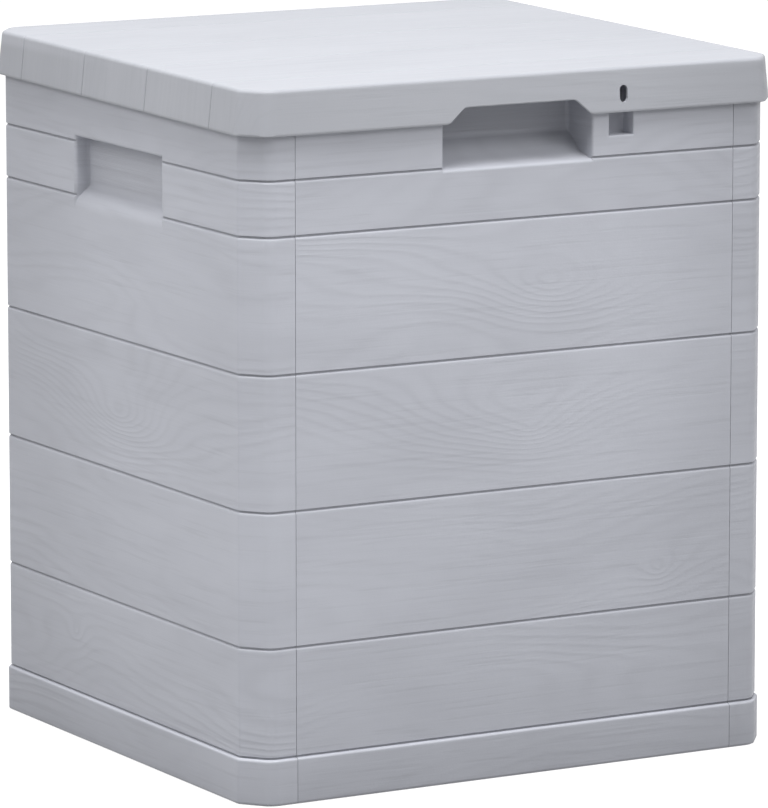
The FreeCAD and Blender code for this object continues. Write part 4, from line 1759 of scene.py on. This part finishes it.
@dataclass
class SeamScrews:
    """Pan-head screws in one seam, made by geometry nodes, in millimetres."""

    node: str
    side_x: int
    side_y: int
    seam: Seam = Seam()
    head_radius: float = 3.6
    head_height: float = 2.4
    shank: float = 1.75
    core: float = 1.4
    point: float = 3.0
    thread_pitch: float = 1.4
    thread_start: float = 0.3
    cross: Row = (0.55, 1.9)
    cross_depth: float = 1.2

    def thread(self, start: float, end: float) -> list[Row]:
        """Outline of the thread.

        Args:
            start: X of the first flank.
            end: X that the last turn stays below.

        Returns:
            (x, radius) points.
        """
        turn = ((0.0, self.core), (0.35, self.shank), (0.5, self.shank), (0.85, self.core))
        rows = []
        x = start
        while x < end:
            rows += [(x + share * self.thread_pitch, radius) for share, radius in turn]
            x += self.thread_pitch
        return rows

    def one(self) -> bpy.types.Object:
        """One screw with a domed head, a cross recess and a threaded shank.

        Returns:
            The screw, to be repeated and then removed.
        """
        seam, head = self.seam, self.head_radius
        seat = seam.x - seam.gap / 2 - seam.thickness
        end = seam.x + seam.gap / 2 + seam.boss_length
        top = seat - self.head_height
        profile = [(top, 0.0), (top, 1.2), (top + 0.1, head - 1.9), (seat - 1.7, head - 0.8),
                   (seat - 0.9, head - 0.15), (seat - 0.2, head), (seat, head - 0.1),
                   (seat, self.shank - 0.2)]
        profile += self.thread(seat + self.thread_start, end - self.thread_pitch)
        profile += [(end, self.core), (end + self.point, 0.05), (end + self.point, 0.0)]
        points, faces = turned_x(profile, self.side_y * seam.screw_y, 0.0, seam.round_steps)
        pile = MeshPile()
        pile.add(points, [face[::-1] for face in faces])
        screw = pile.finish(self.node + "_one")
        self.cut_cross(screw, top)
        if self.side_x < 0:
            screw.data.transform(Matrix.Scale(-1, 4, (1, 0, 0)))
            screw.data.flip_normals()
        return screw

    def cut_cross(self, screw: bpy.types.Object, top: float) -> None:
        """Cut the cross recess into the head.

        Args:
            screw: the screw.
            top: X of the head's top.
        """
        y = self.side_y * self.seam.screw_y
        for wide, tall in (self.cross, self.cross[::-1]):
            pile = MeshPile()
            pile.add_bmesh(block((top - 1, top + self.cross_depth), (y - wide, y + wide),
                                 (-tall, tall), 0.1))
            with_cut(screw, pile.finish("cross_cutter"))

    def make(self, finish: bpy.types.Material) -> bpy.types.Object:
        """Build the row of screws as a plain mesh.

        Args:
            finish: material of the screws.

        Returns:
            The object.
        """
        screw = self.one()
        made = placed_object(self.node + "_shape", bpy.data.meshes.new(self.node))
        tree = row_tree(
            self.node + "_tree", {}, finish,
            lambda sheet, given: sheet.node("GeometryNodeObjectInfo",
                                            {"Object": screw})["Geometry"])
        apply_tree(made, tree, {"Count": self.seam.screw_count,
                                "Start": (0.0, 0.0, self.seam.screw_low * MM),
                                "Pitch": (0.0, 0.0, self.seam.screw_pitch * MM)})
        bpy.data.objects.remove(screw)
        return made


@dataclass
class Finishes:
    """The box's materials."""

    front: bpy.types.Material
    side: bpy.types.Material
    back: bpy.types.Material
    lid: bpy.types.Material
    plain: bpy.types.Material
    pin: bpy.types.Material
    steel: bpy.types.Material

    @classmethod
    def mix(cls) -> "Finishes":
        """Build every material once.

        Returns:
            The finishes.
        """
        grain, skin = wood_grain_group(), moulded_skin_group()
        # The walls get painted shade under the lid, standing in for its shadow.
        wall = {"dark": (0.504, 0.517, 0.571), "light": (0.602, 0.618, 0.681),
                "under_lid_painted_shade": 0.16}
        front = GrainPlastic("front_plastic", **wall, knot=(0.126, 0.148, 0.0),
                             oval=(0.028, 0.378, 0.0), eye=(0.012, 0.268, 0.0))
        side = GrainPlastic("side_plastic", **wall, wave=1.2, knot=(0.075, 0.084, 0.0),
                            oval=(0.002, 0.269, 0.0))
        back = GrainPlastic("back_plastic", **wall)
        lid = GrainPlastic("lid_plastic", (0.413, 0.425, 0.463), (0.461, 0.473, 0.513),
                           wave=0.7)
        plain = PlainPlastic("floor_plastic", (0.46, 0.472, 0.52), (0.52, 0.533, 0.585))
        pin = PlainPlastic("pin_plastic", (0.42, 0.43, 0.47), (0.48, 0.49, 0.53))
        return cls(*(piece.make(grain, skin) for piece in (front, side, back, lid)),
                   plain=plain.make(skin), pin=pin.make(skin), steel=ZincSteel().make())


HAND_HOLD_ACROSS = ((0.0, 12.0), (66.8, 12.0), (68.2, 11.5), (69.0, 10.2), (69.3, 9.0),
                    (69.9, 2.4), (70.4, 1.3), (71.1, 0.55), (72.0, 0.12), (72.8, 0.0))
HAND_HOLD_UPRIGHT = ((415.0, 0.0), (417.0, 0.15), (419.0, 0.5), (421.0, 1.2), (423.0, 2.3),
                     (425.0, 3.9), (427.0, 5.9), (429.0, 8.1), (431.0, 10.2), (433.0, 11.5),
                     (435.0, 12.0),
                     (468.9, 12.0), (470.0, 11.2), (470.4, 10.0), (470.5, 1.8),
                     (470.8, 0.9), (471.4, 0.3), (472.3, 0.0))
SCOOP_ACROSS = ((0.0, 33.0), (60.2, 33.0), (61.6, 32.3), (62.6, 30.8), (63.0, 28.5),
                (64.5, 2.2), (64.9, 1.0), (65.4, 0.35), (66.2, 0.0))
SCOOP_UPRIGHT = ((463.4, 0.0), (464.6, 0.35), (465.6, 1.5), (466.5, 4.2), (467.9, 8.6),
                 (469.7, 12.8), (471.9, 17.0), (475.1, 21.2), (478.6, 25.4), (482.0, 29.4),
                 (483.8, 31.5), (485.0, 32.5), (486.8, 33.0), (526.0, 33.0))
RECESS_ACROSS = ((0.0, 14.0), (9.4, 14.0), (10.1, 13.5), (10.35, 12.4), (10.5, 1.0),
                 (10.8, 0.35), (11.4, 0.0))
RECESS_UPRIGHT = ((481.5, 0.0), (482.1, 0.35), (482.4, 1.0), (482.55, 12.4), (482.9, 13.5),
                  (483.7, 14.0), (522.7, 14.0), (523.3, 12.6), (523.4, 4.2), (523.5, 0.0))


def trough_upright(steps: int = 12) -> tuple[Row, ...]:
    """Depth of the trough behind a lid knuckle, by height.

    Args:
        steps: segments of its round bottom.

    Returns:
        (height, depth) points.
    """
    hinge = Hinge()
    reach = hinge.radius + 1.0
    face = WALL_PLAN.half_depth - hinge.y
    rows = [(hinge.z - reach - 0.1, 0.0), (hinge.z - reach, face)]
    for i in range(1, steps):
        z = -reach + 2 * reach * i / steps
        rows.append((hinge.z + z, face + math.sqrt(max(reach * reach - z * z, 0.0))))
    rows += [(hinge.z + reach, face), (508.0, face), (508.05, 0.0)]
    return tuple(rows)


TROUGH_ACROSS = ((0.0, 8.6), (11.9, 8.6), (12.3, 8.2), (12.4, 0.3), (12.8, 0.0))


def straight_stations(line: Line, low: float, high: float, pockets: Sequence[Pocket],
                      pitch: float = 30.0) -> list[Station]:
    """Columns along a straight run, dense where a recess needs them.

    Args:
        line: the run.
        low: lowest coordinate.
        high: highest coordinate.
        pockets: recesses on the run.
        pitch: plain column distance.

    Returns:
        Stations in the direction of the outline.
    """
    wanted = {low, high, low + 1.0, high - 1.0}
    wanted |= {float(v) for v in np.arange(math.ceil(low / pitch) * pitch, high, pitch)}
    for pocket in pockets:
        wanted |= {c for c in pocket.columns() if low + 0.5 < c < high - 0.5}
    kept: list[float] = []
    for value in sorted(wanted):
        if not kept or value - kept[-1] > 0.04:
            kept.append(value)
    if line in (Line.BACK, Line.LEFT):
        kept.reverse()
    return [Station(line.value, value) for value in kept]


@dataclass
class FloorPlate:
    """Floor plate inside the walls, with a shallow groove round its edge."""

    inset: float = 3.6
    low: float = 12.0
    high: float = 15.0
    edge: float = 0.5
    middle_inset: float = 14.0
    groove: tuple[Row, ...] = ((9.0, 0.0), (9.4, 0.4), (10.6, 0.4), (11.0, 0.0))

    def build(self) -> MeshPile:
        """Plate closed above and below by its plan outline.

        Returns:
            The pile holding the plate.
        """
        edge, low, high = self.edge, self.low, self.high
        profile = [(self.middle_inset, low), (edge, low), (0.0, low + edge),
                   (0.0, high - edge), (edge, high)]
        profile += [(inset, high - depth) for inset, depth in self.groove]
        profile.append((self.middle_inset, high))
        rows = np.array(profile)
        stations = [station for corner in range(8) for station in WALL_PLAN.arc(corner, 5)]
        plan = WALL_PLAN.place(stations, np.tile(rows[:, 0] + self.inset, (len(stations), 1)))
        columns, count = plan.shape[:2]
        grid = np.dstack([plan, np.broadcast_to(rows[:, 1], (columns, count))])
        faces = swept_faces(columns, count, True)
        faces.append(tuple(i * count for i in reversed(range(columns))))
        faces.append(tuple(i * count + count - 1 for i in range(columns)))
        pile = MeshPile()
        pile.add(grid.reshape(-1, 3), faces)
        return pile


def settle(made: bpy.types.Object, body: str, finish: bpy.types.Material,
           node: str = "") -> None:
    """Dress a piece and tie it to its body and the node it stands for.

    Args:
        made: the piece.
        body: body that it moves with.
        finish: its material.
        node: the node that it stands for, if there is one.
    """
    made.data.materials.clear()
    made.data.materials.append(finish)
    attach(made, body)
    if node:
        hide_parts(node)
    LOG.info("%s: %d faces", made.name, len(made.data.polygons))


@dataclass
class Body:
    """The fixed body: four walls, floor, pins and screws."""

    finishes: Finishes
    seam: Seam = Seam()
    hinge: Hinge = Hinge()
    catches: Catches = Catches()
    body: str = "box"
    edge: float = 189.8
    side_gap: float = 0.4
    side_end: float = 184.8
    inner_front: float = 206.5
    inner_side: float = 224.5
    padlock_x: float = 90.0
    padlock_bar: tuple[Row, Row, Row] = ((79.0, 101.0), (-208.5, -202.5), (501.0, 507.0))
    padlock_bar_ease: float = 0.7
    rib_count: int = 5
    rib_pitch: float = 80.0
    rib_section: Row = (2.0, 9.2)
    rib_middle: float = 7.6
    rib_reach: Row = (425.0, 389.0)

    def straight_wall(self, line: Line, pockets: Sequence[Pocket], seed: float) -> MeshPile:
        """Front or back wall between the seams.

        Args:
            line: the run that it stands on.
            pockets: its recesses.
            seed: number that sets its grain apart.

        Returns:
            The pile holding the wall.
        """
        stations = straight_stations(line, -self.edge, self.edge, pockets)
        return WallPanel(stations, pockets, seed).build()

    def add_inside(self, pile: MeshPile, side_y: int) -> None:
        """Seam flanges and floor catches of the front or the back wall.

        Args:
            pile: the wall's pile.
            side_y: -1 for the front wall, 1 for the back wall.
        """
        for side_x in (-1, 1):
            pile.add_bmesh(self.seam.middle_flange(side_x, side_y))
        self.catches.add(pile, self.inner_front, prism_x, side_y)

    def front_panel(self) -> None:
        """Front wall with scoop, padlock recess and bar."""
        pockets = (Pocket(Line.FRONT, 0.0, SCOOP_ACROSS, SCOOP_UPRIGHT, 0.3, 0.3),
                   Pocket(Line.FRONT, self.padlock_x, RECESS_ACROSS, RECESS_UPRIGHT))
        pile = self.straight_wall(Line.FRONT, pockets, 1.0)
        pile.add_bmesh(block(*self.padlock_bar, self.padlock_bar_ease))
        self.add_inside(pile, -1)
        settle(pile.finish("front_wall"), self.body, self.finishes.front,
               "front_panel")

    def back_panel(self) -> None:
        """Back wall with troughs, fixed knuckles and stops."""
        upright = trough_upright()
        pockets = tuple(Pocket(Line.BACK, side * self.hinge.x, TROUGH_ACROSS, upright)
                        for side in (-1, 1))
        pile = self.straight_wall(Line.BACK, pockets, 31.0)
        self.hinge.add_box_half(pile)
        self.add_inside(pile, 1)
        settle(pile.finish("back_wall"), self.body, self.finishes.back,
               "back_panel")

    def side_panels(self) -> None:
        """Right wall and its mirror image at the left."""
        hold = Pocket(Line.RIGHT, 0.0, HAND_HOLD_ACROSS, HAND_HOLD_UPRIGHT, 0.35, 0.5)
        start = self.edge + self.side_gap
        wrap = (start, start + 1.0, 203.0, 204.0)
        ring = WALL_PLAN
        stations = [Station(Line.FRONT.value, x) for x in wrap]
        stations += ring.arc(6, 8) + ring.arc(7, 5)
        stations += straight_stations(Line.RIGHT, -self.side_end, self.side_end, (hold,))
        stations += ring.arc(0, 5) + ring.arc(1, 8)
        stations += [Station(Line.BACK.value, x) for x in reversed(wrap)]
        for mirror, word, seed in ((False, "right", 11.0), (True, "left", 51.0)):
            pile = WallPanel(stations, (hold,), seed).build()
            for side_y in (-1, 1):
                self.seam.side_flange(pile, side_y)
            self.catches.add(pile, self.inner_side, prism_y)
            settle(pile.finish(f"{word}_wall", mirror), self.body,
                   self.finishes.side, f"{word}_panel")

    def hardware(self) -> None:
        """Hinge pins and the screws of the four seams."""
        for side, word in ((-1, "left"), (1, "right")):
            settle(self.hinge.pin().finish(f"pin_{word}", side < 0), self.body,
                   self.finishes.pin, f"hinge_pin_{word}")
        for side_y, depth in ((-1, "front"), (1, "rear")):
            for side_x, word in ((-1, "left"), (1, "right")):
                node = f"{depth}_{word}_screws"
                row = SeamScrews(node, side_x, side_y, self.seam).make(self.finishes.steel)
                settle(row, self.body, self.finishes.steel, node)

    def floor_panel(self) -> None:
        """Loose floor: plate with a shallow groove round its edge, and crossing ribs beneath."""
        settle(FloorPlate().build().finish("floor_plate"), self.body,
               self.finishes.plain, "floor_panel")
        wide, deep = self.rib_section
        long_x, long_y = self.rib_reach
        for name, along_x, size in (("floor_ribs_lengthwise", False, (wide, long_y, deep)),
                                    ("floor_ribs_crosswise", True, (long_x, wide, deep))):
            row = BarRow(name, self.rib_count, self.rib_pitch, size,
                         (0.0, 0.0, self.rib_middle), along_x).make(self.finishes.plain)
            settle(row, self.body, self.finishes.plain)

    def build(self) -> None:
        """Build every piece of the fixed body."""
        self.front_panel()
        self.side_panels()
        self.back_panel()
        self.hardware()
        self.floor_panel()


@dataclass
class Lid:
    """The moving body: lid shell and the ribs beneath."""

    finishes: Finishes
    shell: LidShell = field(default_factory=LidShell)
    body: str = "lid"
    rib_count: int = 3
    rib_pitch: float = 104.0
    rib_section: Row = (2.0, 7.0)
    rib_middle: float = 28.0
    rib_reach: Row = (425.0, 355.4)
    rib_shift: float = 16.2

    def build(self) -> None:
        """Build the shell and its ribs."""
        made = self.shell.build().finish("lid_shell")
        with_cut(made, self.shell.slot_cutter())
        settle(made, self.body, self.finishes.lid, "lid")
        self.ribs()

    def ribs(self) -> None:
        """Crossing ribs under the lid's top."""
        placing = self.shell.shape.placing()
        wide, deep = self.rib_section
        long_x, long_y = self.rib_reach
        for name, size, shift, along_x in (
                ("lid_ribs_lengthwise", (wide, long_y, deep), self.rib_shift, False),
                ("lid_ribs_crosswise", (long_x, wide, deep), 0.0, True)):
            row = BarRow(name, self.rib_count, self.rib_pitch, size,
                         (0.0, shift, self.rib_middle), along_x)
            settle(row.make(self.finishes.lid, placing), self.body,
                   self.finishes.lid)


@dataclass(frozen=True)
class Lamp:
    """Soft square lamp aimed at the box."""

    name: str
    place: Triple
    size: float
    power: float
    aim: Triple = (0.0, 0.0, 0.3)

    def hang(self) -> None:
        """Add the lamp to the scene."""
        data = bpy.data.lights.new(self.name, "AREA")
        data.size = self.size
        data.energy = self.power
        made = placed_object(self.name, data)
        made.location = self.place
        away = Vector(self.aim) - Vector(self.place)
        made.rotation_euler = away.to_track_quat("-Z", "Y").to_euler()


@dataclass
class Studio:
    """Plain floor, soft light and the camera at the photograph's angle."""

    camera_place: Triple = (-2.45033, -4.29648, 1.10206)
    yaw: float = 0.51907
    pitch: float = 0.16988
    focal_px: float = 6446.88
    long_side_px: float = 808.0
    sensor: float = 36.0
    horizon_light: float = 0.26
    zenith_light: float = 0.38
    floor_size: float = 30.0
    floor_level: float = -0.0003
    floor_white: float = 0.8
    # Painted shadow round the box, seen only by bounced light.
    painted_shadow_fade: Row = (0.24, 0.5)
    floor_painted_shadow: Triple = (0.1, 0.1, 0.1)
    floor_light: Triple = (0.45, 0.45, 0.45)
    white: Triple = (1.0, 1.0, 1.0)
    lamps: tuple[Lamp, ...] = (Lamp("key_lamp", (1.3, -2.4, 2.6), 1.6, 32.5),
                               Lamp("side_lamp", (-2.6, 0.5, 2.6), 1.6, 31.5),
                               Lamp("top_lamp", (-0.45, -0.75, 2.9), 0.8, 51.0))

    def camera(self) -> None:
        """Create the camera and make it the scene's own."""
        data = bpy.data.cameras.new("camera")
        data.sensor_width = self.sensor
        data.lens = self.focal_px * self.sensor / self.long_side_px
        data.clip_end = 100.0
        made = placed_object("camera", data)
        made.location = self.camera_place
        made.rotation_euler = (math.pi / 2 - self.pitch, 0.0, -self.yaw)
        bpy.context.scene.camera = made

    def seen(self, sheet: NodeSheet) -> bpy.types.NodeSocket:
        """Mask of the rays that show the background: camera, glossy and transmission.

        Args:
            sheet: sheet of the material.

        Returns:
            1 for these rays, otherwise 0.
        """
        rays = sheet.add("ShaderNodeLightPath").outputs
        shown = sheet.math("MAXIMUM", rays["Is Camera Ray"], rays["Is Glossy Ray"])
        return sheet.math("MAXIMUM", shown, rays["Is Transmission Ray"])

    def world(self) -> None:
        """Even surroundings, white behind the box."""
        world = bpy.data.worlds.new("studio")
        bpy.context.scene.world = world
        world.use_nodes = True
        sheet = NodeSheet(world.node_tree)
        looking = sheet.parts(sheet.add("ShaderNodeNewGeometry").outputs["Incoming"])
        light = sheet.math("MULTIPLY_ADD", sheet.math("ABSOLUTE", looking["Z"]),
                           self.zenith_light, self.horizon_light)
        strength = sheet.node("ShaderNodeMix", {"Factor": self.seen(sheet), "A": light,
                                                "B": 1.0}, data_type="FLOAT")
        dress_shader(sheet, world.node_tree.nodes["Background"],
                     {"Color": self.white, "Strength": strength["Result"]})

    def floor(self) -> None:
        """Pale floor, white to the camera except for the box's shadow, and with a painted shadow
        near the box that only bounced light sees.
        """
        work = bmesh.new()
        bmesh.ops.create_grid(work, x_segments=1, y_segments=1, size=self.floor_size)
        mesh = bpy.data.meshes.new("studio_floor")
        work.to_mesh(mesh)
        work.free()
        made = placed_object("studio_floor", mesh)
        made.location = (0.0, 0.0, self.floor_level)
        material, sheet, shader = new_material("floor_paint")
        shown = self.seen(sheet)
        # Painted shadow: to all but the background rays the floor is dark near the box, which
        # darkens the box's foot.
        plain = sheet.spread(sheet.vector("LENGTH", sheet.place()), *self.painted_shadow_fade)
        dress_shader(sheet, shader, {
            "Roughness": 0.9, "Specular IOR Level": 0.1,
            "Base Color": sheet.blend(sheet.math("MAXIMUM", shown, plain),
                                      self.floor_painted_shadow, self.floor_light),
            "Emission Color": self.white,
            "Emission Strength": sheet.math("MULTIPLY", shown, self.floor_white)})
        mesh.materials.append(material)

    def build(self) -> None:
        """Set up camera, lamps, surroundings and floor."""
        self.camera()
        for lamp in self.lamps:
            lamp.hang()
        self.world()
        self.floor()
        bpy.context.scene.view_settings.view_transform = "Standard"


def main() -> None:
    """Build the whole box and its studio."""
    logging.basicConfig(level=logging.INFO, format="%(name)s %(message)s")
    Studio().build()
    finishes = Finishes.mix()
    Body(finishes).build()
    Lid(finishes).build()
    bpy.context.view_layer.update()


if __name__ == "__main__":
    main()
